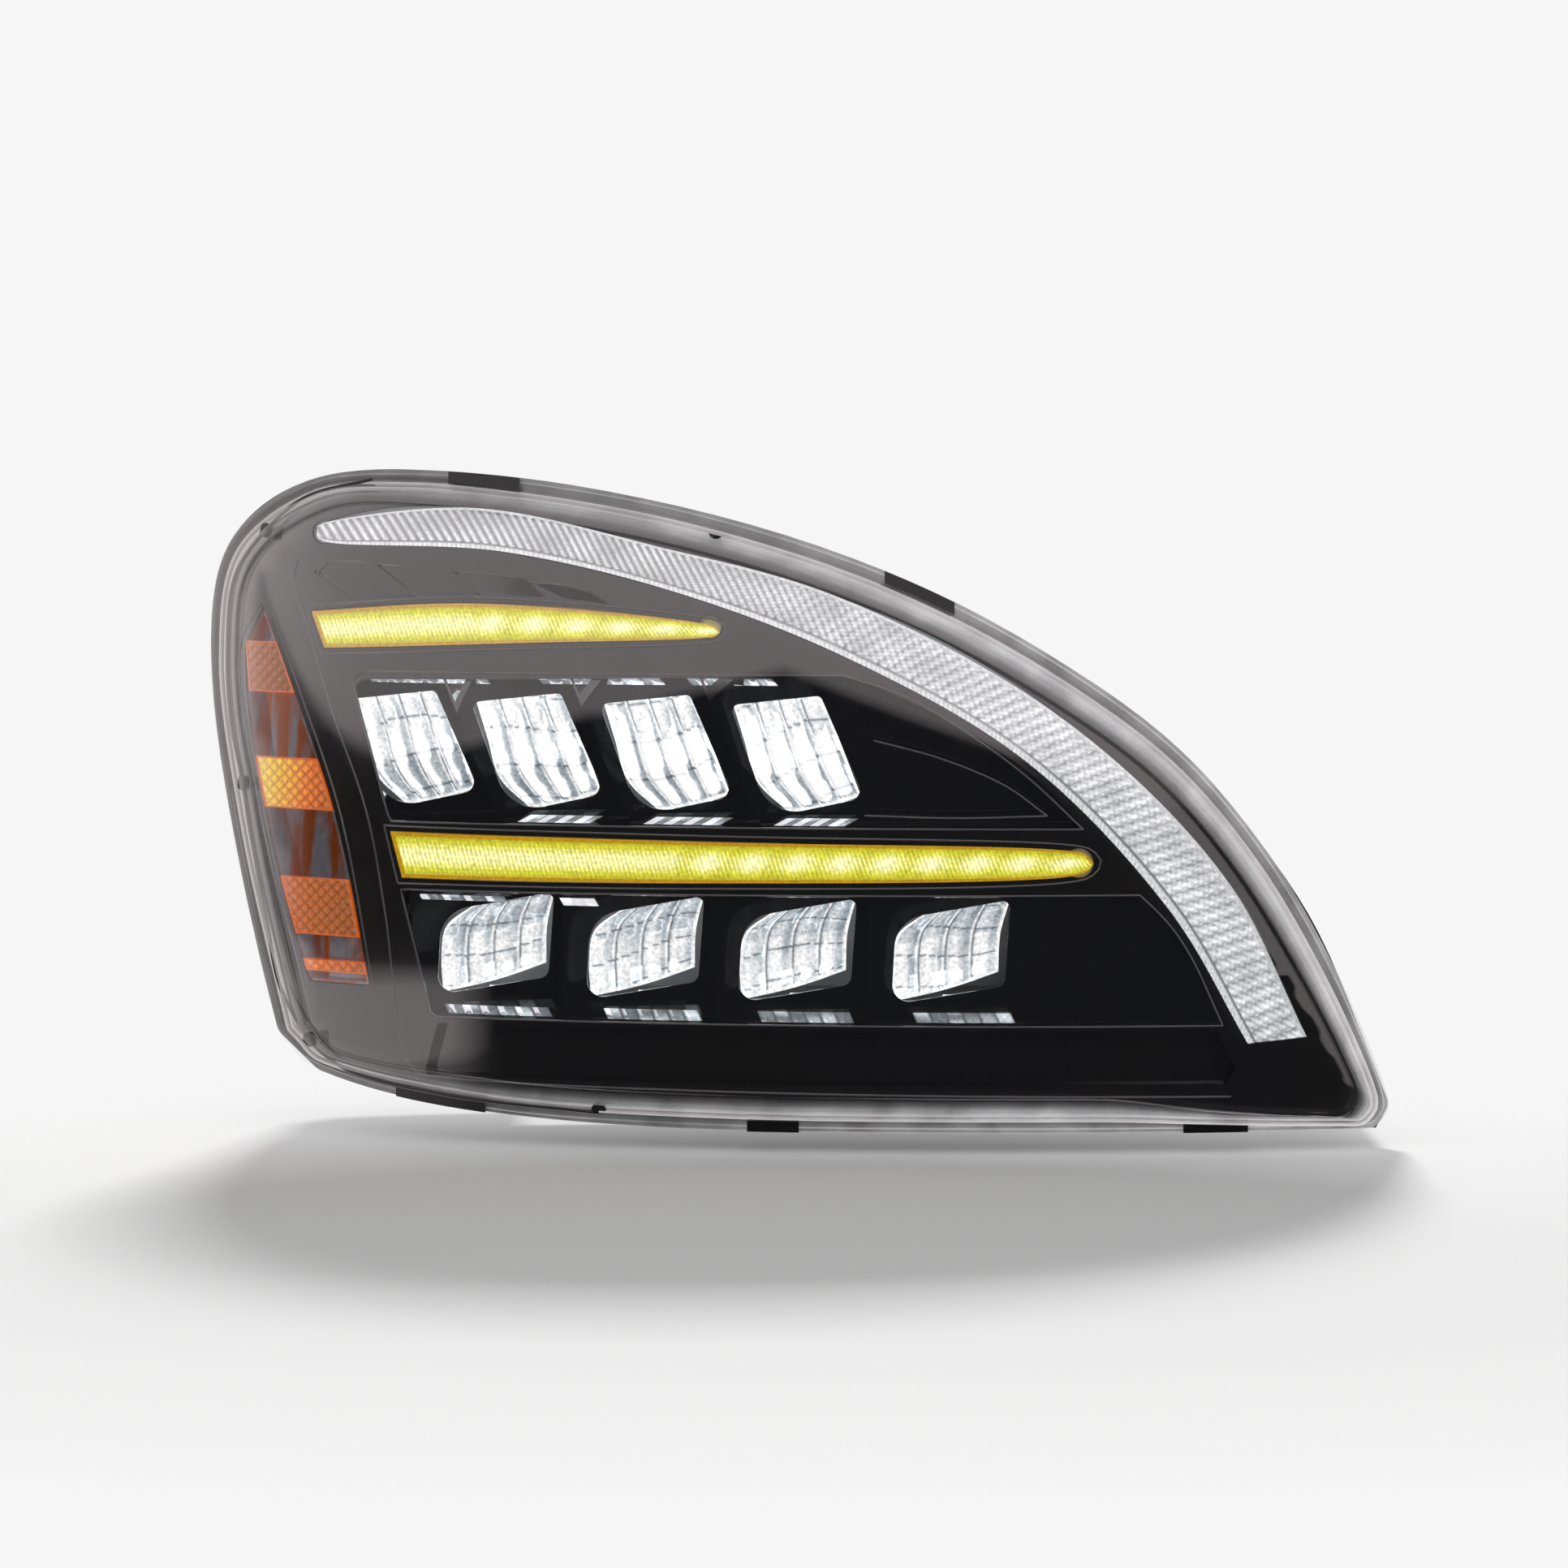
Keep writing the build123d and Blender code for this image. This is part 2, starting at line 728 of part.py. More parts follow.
def pivot_brackets(row):
    """Two legs on the rear wall of the housing, each with the pin that the carrier turns on."""
    z = row.pivot_z
    with BuildPart() as brackets:
        for side, cheek in ((-1, row.left - 4), (1, row.right + 4)):
            plate = cheek + side * 3
            wall = WING_BACK - WALL if plate < WING_X else MAIN_BACK - WALL
            x_low, x_high = sorted((plate, plate + side * 4))
            add(box(x_low, x_high, PIVOT_Y - 9, wall, z - 9, z + 9))
            foot_low, foot_high = sorted((plate, plate + side * 22))
            add(box(foot_low, foot_high, wall - 4, wall, z - 12, z + 12))
            pin_low, pin_high = sorted((plate, cheek - side * 7))
            add(axle(PIVOT_Y, z, PIN_RADIUS, pin_low, pin_high))
    return brackets.part


# ---------------------------------------------------------------- vertical aim


def aim_collars():
    """Bearings of the two aiming screws, pressed into the rear wall."""
    with BuildPart() as collars:
        for row in ROWS:
            add(rod(AIM_X, row.aim_z, COLLAR_RADIUS, MAIN_BACK - 10, MAIN_BACK + 6))
            add(rod(AIM_X, row.aim_z, JOURNAL_RADIUS + 0.06, MAIN_BACK - 10, MAIN_BACK + 6), mode=Mode.SUBTRACT)
    return collars.part


def aim_screw(row):
    tip, flange, journal, head, end = PIVOT_Y - 22, -126, -122.3, -105.7, -90
    place = (AIM_X, row.aim_z)
    with BuildPart() as screw:
        add(rod(*place, AIM_SCREW_RADIUS, tip, flange))
        chamfer(screw.faces().sort_by(Axis.Y)[0].edges(), 1)
        add(rod(*place, 8, flange, journal))
        add(rod(*place, JOURNAL_RADIUS, journal, head))
        with BuildSketch(Plane.XZ.offset(-end)):
            with Locations(place):
                Circle(12)
                with PolarLocations(12.5, 12):
                    Circle(1.8, mode=Mode.SUBTRACT)
        extrude(amount=end - head)
        with BuildSketch(Plane.XZ.offset(-end)):
            with Locations(place):
                RegularPolygon(4, 6)
        extrude(amount=8, mode=Mode.SUBTRACT)
    return screw.part


def aim_nut(row):
    """Barrel nut that rides on the aiming screw and turns in the eye of the carrier."""
    with BuildPart() as nut:
        add(axle(PIVOT_Y, row.aim_z, AIM_NUT_RADIUS, AIM_X - 12, AIM_X + 12))
        add(rod(AIM_X, row.aim_z, AIM_NUT_BORE, PIVOT_Y - 10, PIVOT_Y + 10), mode=Mode.SUBTRACT)
    return nut.part


# ---------------------------------------------------------------- rear fittings


def strap(side):
    """Steel mounting strap with two clearance holes and two countersunk holes for its own screws."""
    z = side * MOUNT_Z
    length = MOUNT_X + 20
    with BuildPart() as bar:
        with BuildSketch(Plane.XZ):
            with Locations((0, z)):
                RectangleRounded(2 * length, 2 * STRAP_HALF, 6)
        extrude(amount=STRAP_THICK)
        for lip in (-1, 1):
            z_low, z_high = sorted((z + lip * STRAP_HALF, z + lip * (STRAP_HALF - 2.5)))
            add(box(-length + 8, length - 8, -12, -STRAP_THICK, z_low, z_high))
        with Locations(Plane.XZ):
            with Locations((-MOUNT_X, z), (MOUNT_X, z)):
                Hole(MOUNT_HOLE, depth=2 * STRAP_THICK)
        for x in POSTS_X:
            add(screw_solid(x, z, 0), mode=Mode.SUBTRACT)
    return bar.part


def screw_solid(x, z, slot):
    """Countersunk screw, its head flush with the mounting plane, with an optional hexagon socket."""
    with BuildPart() as screw:
        with BuildSketch(Plane.XY.offset(z)):
            with BuildLine():
                Polyline((x, 0), (x + 6.5, 0), (x + POST_SCREW, -3.9), (x + POST_SCREW, -30), (x, -30), close=True)
            make_face()
        revolve(axis=Axis((x, 0, z), (0, 1, 0)))
        if slot:
            with BuildSketch(Plane.XZ):
                with Locations((x, z)):
                    RegularPolygon(slot, 6)
            extrude(amount=2.5, mode=Mode.SUBTRACT)
    return screw.part


def strap_screws():
    with BuildPart() as screws:
        for x in POSTS_X:
            for z in (MOUNT_Z, -MOUNT_Z):
                add(screw_solid(x, z, 2))
    return screws.part


def service_cap(centre):
    """Cap with a grip bar and three bayonet lugs that lie inside the tabs of the collar."""
    collar_end = MAIN_BACK + 12
    gap = 0.4
    with BuildPart() as cap:
        add(rod(*centre, CAP_RADIUS, collar_end + gap, collar_end + 5))
        add(rod(*centre, CAP_PLUG, MAIN_BACK - WALL - 5, collar_end + gap))
        lugs = cap_sectors(centre, CAP_PLUG - 1, CAP_LUG, 8)
        add(prism(lugs, MAIN_BACK - WALL - 4, MAIN_BACK - WALL - gap))
        add(rod(*centre, CAP_PLUG - 4, MAIN_BACK - WALL - 5, collar_end), mode=Mode.SUBTRACT)
        add(rod(*centre, 43.6, collar_end, collar_end + 2.4), mode=Mode.SUBTRACT)
        add(rod(*centre, 40.4, collar_end, collar_end + 5))
        add(rod(*centre, CAP_PLUG - 4, MAIN_BACK - WALL - 5, collar_end), mode=Mode.SUBTRACT)
        grip_x, grip_z = centre
        add(box(grip_x - 36, grip_x + 36, collar_end + 5, collar_end + 19, grip_z - 4, grip_z + 4))
        with BuildSketch(Plane.XZ.offset(-(collar_end + 8))):
            with Locations(centre):
                Circle(CAP_RADIUS)
                with PolarLocations(CAP_RADIUS + 3, 12):
                    Circle(6, mode=Mode.SUBTRACT)
                Circle(CAP_RADIUS - 5, mode=Mode.SUBTRACT)
        extrude(amount=3)
    return cap.part


def cap_seal(centre):
    """Rubber ring in the groove under the rim of the cap."""
    x, z = centre
    middle = (40.4 + 43.6) / 2
    with BuildPart() as seal:
        with BuildSketch(Plane.XY.offset(z)):
            with Locations((x + middle, MAIN_BACK + 12 + 1.35)):
                Circle(1.04)
        revolve(axis=Axis((x, 0, z), (0, 1, 0)))
    return seal.part


def breather_vents():
    """Membrane vent caps pressed over the nipples of the housing."""
    with BuildPart() as vents:
        for x, z in VENTS:
            add(rod(x, z, 11, MAIN_BACK + 4, MAIN_BACK + 16))
            add(rod(x, z, 7, MAIN_BACK + 4, MAIN_BACK + 10), mode=Mode.SUBTRACT)
            with BuildSketch(Plane.XZ.offset(-(MAIN_BACK + 16))):
                with Locations((x, z)):
                    with PolarLocations(11, 8):
                        Circle(1.6)
            extrude(amount=10, mode=Mode.SUBTRACT)
    return vents.part


def connector_header():
    """Sealed socket on the rear wall, with a keyed shroud."""
    x, z = CONNECTOR
    back = MAIN_BACK + 34
    with BuildPart() as header:
        add(box(x - 28, x + 28, MAIN_BACK, MAIN_BACK + 4, z - 20, z + 20))
        add(box(x - 23, x + 23, MAIN_BACK + 4, back, z - 14, z + 14))
        fillet(header.edges().filter_by(Axis.Y), 3)
        add(box(x - 20, x + 20, MAIN_BACK + 8, back, z - 11, z + 11), mode=Mode.SUBTRACT)
        add(box(x - 19.5, x + 19.5, MAIN_BACK - 8, MAIN_BACK, z - 11.5, z + 11.5))
        add(box(x - 5, x + 5, back - 14, back, z + 14, z + 18))
        add(pin_block(0.0), mode=Mode.SUBTRACT)
    return header.part


def pin_block(extra):
    """Contact blades of the socket."""
    x, z = CONNECTOR
    with BuildPart() as blades:
        with BuildSketch(Plane.XZ.offset(-(MAIN_BACK + 24))):
            with Locations((x, z)):
                with GridLocations(9, 9, 4, 2):
                    Rectangle(2.8 + extra, 0.8 + extra)
        extrude(amount=38)
    return blades.part


def driver_case():
    """Finned die-cast case of the LED driver, on the rear wall."""
    x, z = DRIVER
    with BuildPart() as case:
        add(box(x - 62, x + 62, MAIN_BACK, MAIN_BACK + 5, z - 42, z + 42))
        fillet(case.edges().filter_by(Axis.Y), 8)
        add(box(x - 52, x + 52, MAIN_BACK + 5, MAIN_BACK + 26, z - 38, z + 38))
        with BuildSketch(Plane.XZ.offset(-(MAIN_BACK + 40))):
            with Locations((x, z)):
                with GridLocations(8, 0, 13, 1):
                    Rectangle(2.4, 70)
        extrude(amount=14)
        with Locations(Plane.XZ.offset(-(MAIN_BACK + 5))):
            with Locations(*driver_corners()):
                Hole(2.6, depth=5)
    return case.part


def driver_corners():
    x, z = DRIVER
    return [(x + dx, z + dz) for dx in (-57, 57) for dz in (-34, 34)]


def driver_screws():
    with BuildPart() as screws:
        for x, z in driver_corners():
            add(rod(x, z, 2.6, MAIN_BACK, MAIN_BACK + 5))
            add(rod(x, z, 4.5, MAIN_BACK + 5, MAIN_BACK + 9))
            with BuildSketch(Plane.XZ.offset(-(MAIN_BACK + 9))):
                with Locations((x, z)):
                    RegularPolygon(2, 6)
            extrude(amount=2.5, mode=Mode.SUBTRACT)
    return screws.part


# ---------------------------------------------------------------- assembly

write(outer_lens(), "outer_lens")
write(lens_bosses(), "lens_bosses")
write(lens_sealant(), "lens_sealant")
write(lens_clips(), "lens_clips")
write(rear_housing(), "rear_housing")
write(bezel(), "bezel")
write(beam_bowl(LOW, low_bowl_outline()), "low_bowl")
write(beam_bowl(HIGH, high_bowl_outline()), "high_bowl")

write(slab(drl_outline(), BEZEL_NEAR - 3, BEZEL_FAR + 4), "drl_lens")
write(tray(drl_outline(), BEZEL_FAR + 4, BEZEL_FAR + 16), "drl_tray")
write(led_board(drl_outline(), BEZEL_FAR + 16), "drl_board")
write(slab(upper_turn_outline(), BEZEL_NEAR - 2, BEZEL_FAR + 3), "upper_turn_lens")
write(tray(upper_turn_outline(), BEZEL_FAR + 3, BEZEL_FAR + 12), "upper_turn_tray")
write(led_board(upper_turn_outline(), BEZEL_FAR + 12), "upper_turn_board")
write(slab(middle_turn_outline(), BEZEL_NEAR - 2, BEZEL_FAR + 3), "middle_turn_lens")
write(tray(middle_turn_outline(), BEZEL_FAR + 3, BEZEL_FAR + 12), "middle_turn_tray")
write(led_board(middle_turn_outline(), BEZEL_FAR + 12), "middle_turn_board")
write(side_marker_lens(), "side_marker_lens")
write(side_marker_reflector(), "side_marker_reflector")
write(led_board(side_outline(), BEZEL_FAR + 14), "side_marker_board")

for beam in ROWS:
    write(carrier(beam), f"{beam.name}_carrier")
    write(heat_sink(beam), f"{beam.name}_heat_sink")
    write(led_boards(beam), f"{beam.name}_led_boards")
    write(led_emitters(beam), f"{beam.name}_led_emitters")
    write(led_holders(beam), f"{beam.name}_led_holders")
    write(pivot_bushes(beam), f"{beam.name}_pivot_bushes")
    write(pivot_brackets(beam), f"{beam.name}_pivot_brackets")
    write(aim_screw(beam), f"{beam.name}_aim_screw")
    write(aim_nut(beam), f"{beam.name}_aim_nut")
    for number in range(4):
        write(reflector(beam, number), f"{beam.name}_reflector_{number + 1}")

write(aim_collars(), "aim_collars")
write(strap(1), "upper_strap")
write(strap(-1), "lower_strap")
write(strap_screws(), "strap_screws")
write(breather_vents(), "breather_vents")
write(connector_header(), "connector_header")
write(pin_block(0.0), "connector_pins")
write(driver_case(), "driver_case")
write(driver_screws(), "driver_screws")

for cap_name, cap_centre in CAP_CENTRES.items():
    write(service_cap(cap_centre), f"{cap_name}_service_cap")
    write(cap_seal(cap_centre), f"{cap_name}_cap_seal")
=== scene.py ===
"""Looks of the LED headlight: lens shell, optics, finishes, studio light and camera.

Shapes are worked out in millimetres in the frame of the CAD and scaled to metres
when a mesh is made.
"""

import math

import bmesh
import bpy
import numpy as np
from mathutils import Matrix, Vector
from mathutils.geometry import delaunay_2d_cdt


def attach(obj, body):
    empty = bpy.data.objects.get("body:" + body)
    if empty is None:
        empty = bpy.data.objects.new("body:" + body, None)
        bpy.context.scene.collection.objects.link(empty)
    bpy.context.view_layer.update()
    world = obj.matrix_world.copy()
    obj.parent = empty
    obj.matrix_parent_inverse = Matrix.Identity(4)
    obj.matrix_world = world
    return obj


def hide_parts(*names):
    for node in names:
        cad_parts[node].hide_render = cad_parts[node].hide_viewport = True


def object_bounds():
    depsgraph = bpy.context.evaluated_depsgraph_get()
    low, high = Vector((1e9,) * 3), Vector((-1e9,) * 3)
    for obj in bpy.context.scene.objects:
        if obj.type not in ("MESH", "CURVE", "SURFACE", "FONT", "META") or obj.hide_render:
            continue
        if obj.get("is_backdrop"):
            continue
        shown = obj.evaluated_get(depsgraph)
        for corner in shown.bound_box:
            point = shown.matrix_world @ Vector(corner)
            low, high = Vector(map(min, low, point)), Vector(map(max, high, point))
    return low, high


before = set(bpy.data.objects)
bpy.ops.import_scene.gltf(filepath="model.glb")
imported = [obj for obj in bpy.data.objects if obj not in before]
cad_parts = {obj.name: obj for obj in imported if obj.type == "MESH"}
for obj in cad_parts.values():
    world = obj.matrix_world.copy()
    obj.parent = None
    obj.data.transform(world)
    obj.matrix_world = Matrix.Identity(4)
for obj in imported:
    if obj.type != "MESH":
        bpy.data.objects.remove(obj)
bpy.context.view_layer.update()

MM = 0.001
NOISE_DETAIL = 3.0
# Area in square metres that a skin may show to the back before it is turned round.
FACES_BACK = 1e-4

# ---------------------------------------------------------------- driving dimensions (mm)

CROWN = (150, -359.9, -120)
PLAN_RADIUS = 1000
LEAN_RADIUS = 900
WRAP_START = -150
WRAP_RATE = 5.4e-6

LENS_RIM = [
    (-355, -170), (-393, -22), (-411, 95), (-398, 170), (-338, 215), (-262, 223.3), (-113, 207),
    (19, 173), (115, 134), (205, 82), (272, 30), (330, -40), (376, -121), (409, -200),
    (410, -209), (403, -220), (396, -223), (0, -223), (-205, -215), (-318, -195), (-336, -188),
    (-346, -178),
]  # fmt: skip
RIM_POINTS = 420
# Corners of the outline of the part, which the rim stays inside.
RIM_LOW = (-411, -222.9)
RIM_HIGH = (409.9, 223.4)
LENS_WALL = 3.4
# Section of the lens from the flange, over the rounded shoulder and a fine groove, to the crown:
# inset from the rim, depth behind the crown.
FLANGE = [(0.1, 36.6), (0.1, 33.7), (0.7, 33.1), (5, 33.1), (8, 33), (9, 32), (9.3, 29), (9.3, 24)]
SHOULDER_START = (9.3, 18)
SHOULDER = (17, 18)
GROOVE = [(27.2, 0.7), (28.2, 0.7), (29, 0)]
SHOULDER_STEP = 9
CROWN_GRID = 15
# Milkiness of the wall and its painted highlight, a bright band on the shoulder, by X and by inset from
# the rim.
MILK_AND_HIGHLIGHT_X = ([-360, -60, 150], [0.08, 0.36, 0.56])
MILK_AND_HIGHLIGHT_INSET = (
    [0, 4, 6, 9, 10, 13, 15, 17, 19, 22, 26],
    [0.5, 0.5, 0.15, 0.15, 0.8, 1, 0.3, 0.9, 0.2, 0.1, 0],
)

DRL_OUTER = [
    (-326, 184), (-318, 187), (-212, 197), (-85, 171), (38, 137), (186, 57), (294, -48), (351, -157),
]  # fmt: skip
DRL_INNER = [
    (-326, 176), (-318, 173), (-197, 168), (-85, 144), (38, 99), (161, 29), (257, -70), (311, -161),
]  # fmt: skip
# Front and back of each optic, as depths behind the crown, and how far its prisms stand out.
DRL_FRONT, DRL_BACK = 16.2, 22.5
STRIP_FRONT, STRIP_BACK = 17.0, 21.8
PRISM_HEIGHT = 2.6
PRISM_PITCH = 6.2
CROSSED_PITCH = 8.6
DRL_RIM_PITCH = 3.4
# Where along the crescent the crossed prisms begin, and over what length they take over.
CROSSED_START = 250
CROSSED_LENGTH = 250

UPPER_TOP = [(-329, 125), (-214, 132), (-57, 120), (-47, 117.6), (-43.4, 114.4)]
UPPER_BOTTOM = [(-319, 100), (-180, 105.5), (-53, 110), (-46, 111.4), (-43.4, 113.6)]
MIDDLE_TOP = [(-269.5, -24), (-60, -26.5), (192, -31.5), (203, -35), (206.6, -39)]
MIDDLE_BOTTOM = [(-261, -55), (-60, -54), (192, -48), (203, -44.5), (206.6, -40)]
RIB_PITCH = 3.0
CELL_ROWS = 9.0
HOT_SPOT_PITCH = 30.0
HOT_SPOT_LEAN = 22
# Share of a strip's length, from its outboard end, that has square cells.
FINE_SHARE = 0.4
STRIP_EDGE = (0.42, 0.22, 0.006)
OLIVE, YELLOW, PALE_YELLOW = (0.22, 0.20, 0.004), (0.66, 0.66, 0.03), (1.0, 1.0, 0.66)

REFLECTOR_SETBACK = 36
REFLECTOR_WALL = 2.4
REFLECTOR_GRID = 49
REFLECTORS_IN_ROW = 4
DISH_RADIUS = 123
DISH_SAG = 34
FLUTE_HEIGHT = 1.4
BEAD_HEIGHT = 1.6
STEPS = 3.2
ROWS = {
    "low": dict(x=-300.6, pitch=88.5, width=88, led=70, middle=30, led_at_top=True, seed=0),
    "high": dict(x=-236, pitch=103, width=78, led=-136, middle=-101, led_at_top=False, seed=3.1),
}
# Left and right sides of a reflector, from its top to its bottom, from the row's own x.
REFLECTOR_SIDES = {
    "low": ([(0, 66), (8, 40), (17, 12), (38, -8)], [(60, 71), (73, 39), (87, 3)]),
    "high": ([(22, -76), (4, -90), (0, -110), (1, -136)], [(79, -65), (73, -90), (72, -116)]),
}
COLUMNS = 4

BEAD_SIDES = 8
BEAD_STEP = 3
RIDGE = [
    (-285, 217), (-335, 204), (-365, 181), (-389, 148), (-394, 98), (-390, 45), (-380, 4), (-375, -24),
    (-361, -90), (-350, -137), (-328, -170), (-306, -187), (-237, -201), (-125, -210),
]  # fmt: skip
# Lines moulded on the bezel: round the bowls, the strips and the side marker, and the outer frame.
BEADS = [
    [(200, -17), (-270, -17), (-298, 79), (-290, 85), (40, 85)],
    [(294, -149), (-240, -149), (-262, -63), (238, -61)],
    [(-322, 96), (-333, 129)],
    [(-264, -59), (-274, -20)],
    [(-325, 151), (-317, 159), (-292, 160), (-277, 150), (-250, 136)],
    [(-280, 158), (-240, 155), (-227, 144), (-207, 136)],
    [(-228, 154), (-190, 151), (-175, 142), (-163, 136)],
    [(-177, 147), (-142, 144), (-126, 136)],
]
# The same, for the lines that bend smoothly.
CURVED_BEADS = [
    [(60, 42), (105, 30), (148, 12), (176, -8)],
    [(176, -8), (115, -9.5), (54, -8)],
    [(40, 85), (78, 72.5), (112, 54), (160, 20), (200, -17)],
    [(238, -61), (257, -80), (272, -102), (294, -149)],
    [(-340, 160), (-343, 146), (-330, 110), (-314, 61), (-287, -10), (-273, -80), (-259, -178),
     (-248, -190)],
    [(-248, -190), (-200, -192), (18, -195), (300, -197)],
    [(-333, 129), (-214, 136), (-57, 124), (-44, 121), (-38, 114), (-44, 108), (-57, 106),
     (-180, 101.5), (-322, 96)],
    [(-274, -20), (-60, -22.5), (192, -27.5), (206, -31), (212, -39.5), (206, -48), (192, -52), (-60, -58),
     (-264, -59)],
    [(-332, -134), (-355, -59), (-375, 23), (-384, 100), (-368, 130)],
    [(-281, -134), (-306, -12), (-337, 70), (-361, 128)],
]  # fmt: skip
LOUVRE_BACK = 17
# Top and bottom ends of the grooves between the louvres.
LOUVRES = [((-324, 153), (-296, 135)), ((-278, 158), (-251, 138)), ((-225, 155), (-206, 139)),
           ((-173, 148), (-160, 137)), ((-130, 140), (-118, 133))]  # fmt: skip
MARKER_OUTBOARD = [(-329, -130), (-351, -59), (-371, 23), (-380, 100)]
MARKER_INBOARD = [(-285, -130), (-311, -12), (-342, 70), (-366, 127)]
MARKER_FRONT, MARKER_BACK = 18.6, 26
DIAMOND_PITCH = 8
DULL_AMBER, ORANGE, AMBER = (0.16, 0.045, 0.002), (0.80, 0.16, 0.004), (0.95, 0.66, 0.012)
MARKER_EDGE = (0.50, 0.085, 0.002)
# Amber blocks of the side marker: low edge, high edge, and how brightly they are lit.
MARKER_BLOCKS = [(-123, -115, 0.5), (-98, -59, 0.25), (-12, 23, 1.0), (68, 103, 0.12)]
SILL_THICKNESS = 1.4
# Faceted sills with painted reflections of the LEDs: name, X range, Z range, slant, depth and cells.
SILLS = [
    ("low_top_1", (-288, -204), (77.5, 83.5), 4, 21, 7),
    ("low_top_2", (-168, -84), (78, 83), 4, 21, 6),
    ("low_top_3", (-66, -8), (78, 82.5), 4, 21, 5),
    ("low_sill_2", (-172, -122), (-15.5, -10.5), -9, 24, 4),
    ("low_sill_3", (-86, -34), (-15.5, -10.5), -9, 24, 4),
    ("low_sill_4", (2, 50), (-15.5, -10.5), -9, 24, 4),
    ("high_sill_1", (-232, -160), (-147, -141), 3, 26, 6),
    ("high_sill_2", (-122, -58), (-147.5, -140.5), 3, 26, 6),
    ("high_sill_3", (-18, 44), (-147.5, -140.5), 3, 26, 6),
    ("high_sill_4", (86, 152), (-147, -140.5), 3, 26, 6),
    ("high_top_1", (-250, -190), (-69.5, -66), 3, 21, 4),
    ("high_top_2", (-152, -128), (-71, -66), 3, 21, 3),
]


def lens_y(x, z):
    """Y of the crown surface of the lens."""
    plan = (x - CROWN[0]) ** 2 / (2 * PLAN_RADIUS)
    lean = (z - CROWN[2]) ** 2 / (2 * LEAN_RADIUS)
    return CROWN[1] + plan + lean + WRAP_RATE * np.maximum(0, WRAP_START - x) ** 3


def smooth(points, steps=16):
    """Catmull-Rom curve through the points."""
    points = np.array(points, float)
    points = np.vstack((2 * points[0] - points[1], points, 2 * points[-1] - points[-2]))
    curve = []
    for a, b, c, d in zip(points, points[1:], points[2:], points[3:]):
        knots = np.cumsum([0] + [max(1e-6, math.dist(p, q)) ** 0.5 for p, q in ((a, b), (b, c), (c, d))])
        for t in np.linspace(knots[1], knots[2], steps, endpoint=False):
            ab = (a * (knots[1] - t) + b * (t - knots[0])) / (knots[1] - knots[0])
            bc = (b * (knots[2] - t) + c * (t - knots[1])) / (knots[2] - knots[1])
            cd = (c * (knots[3] - t) + d * (t - knots[2])) / (knots[3] - knots[2])
            abc = (ab * (knots[2] - t) + bc * (t - knots[0])) / (knots[2] - knots[0])
            bcd = (bc * (knots[3] - t) + cd * (t - knots[1])) / (knots[3] - knots[1])
            curve.append((abc * (knots[2] - t) + bcd * (t - knots[1])) / (knots[2] - knots[1]))
    curve.append(points[-2])
    return np.array(curve)


def spaced(curve, count):
    """Points at equal distances along a curve, and their distances."""
    along = np.concatenate(([0], np.cumsum(np.linalg.norm(np.diff(curve, axis=0), axis=1))))
    stations = np.linspace(0, along[-1], count)
    return np.column_stack([np.interp(stations, along, curve[:, axis]) for axis in (0, 1)]), stations


def triangle(phase):
    """A ridge that rises and falls between 0 and 1 once in each unit of phase."""
    return 1 - np.abs(2 * (phase - np.floor(phase)) - 1)


# ---------------------------------------------------------------- meshes


def make_mesh(name, points, faces, material, body, slot, replaced=(), colours=None, creased=35):
    """A mesh that rides on a body, from points in millimetres; an open skin is turned to the front."""
    mesh = bpy.data.meshes.new(name)
    mesh.from_pydata((np.asarray(points, float) * MM).tolist(), [], faces)
    shape = bmesh.new()
    shape.from_mesh(mesh)
    bmesh.ops.recalc_face_normals(shape, faces=shape.faces)
    if sum(face.normal.y * face.calc_area() for face in shape.faces) > FACES_BACK:
        bmesh.ops.reverse_faces(shape, faces=shape.faces)
    shape.to_mesh(mesh)
    shape.free()
    if colours is not None:
        attribute = mesh.color_attributes.new("glow", "FLOAT_COLOR", "POINT")
        opaque = np.column_stack((colours, np.ones(len(colours))))
        attribute.data.foreach_set("color", opaque.astype(np.float32).ravel())
    mesh.shade_smooth()
    mesh.set_sharp_from_angle(angle=math.radians(creased))
    piece = bpy.data.objects.new(name, mesh)
    bpy.context.scene.collection.objects.link(piece)
    mesh.materials.append(material)
    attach(piece, body)
    if replaced:
        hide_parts(*replaced)
    return piece


def slab_faces(rows, columns):
    """Faces of a closed slab: a front grid, a back grid after it, and the walls between."""
    back = rows * columns

    def quad(r, c):
        start = r * columns + c
        return [start, start + 1, start + columns + 1, start + columns]

    faces = []
    for r in range(rows - 1):
        for c in range(columns - 1):
            faces.append(quad(r, c))
            faces.append([corner + back for corner in reversed(quad(r, c))])
    border = list(range(columns))
    border += [r * columns + columns - 1 for r in range(1, rows)]
    border += [(rows - 1) * columns + c for c in range(columns - 2, -1, -1)]
    border += [r * columns for r in range(rows - 2, 0, -1)]
    for a, b in zip(border, border[1:] + border[:1]):
        faces.append([b, a, a + back, b + back])
    return faces


def ribbon(upper, lower, across, columns):
    """Grid between two curves: X, Z, distance along and share across at every point."""
    upper_points, upper_along = spaced(smooth(upper), columns)
    lower_points, lower_along = spaced(smooth(lower), columns)
    share = np.array(across)[:, None]
    x = upper_points[:, 0] * (1 - share) + lower_points[:, 0] * share
    z = upper_points[:, 1] * (1 - share) + lower_points[:, 1] * share
    along = upper_along * (1 - share) + lower_along * share
    return x, z, along, np.broadcast_to(share, x.shape)


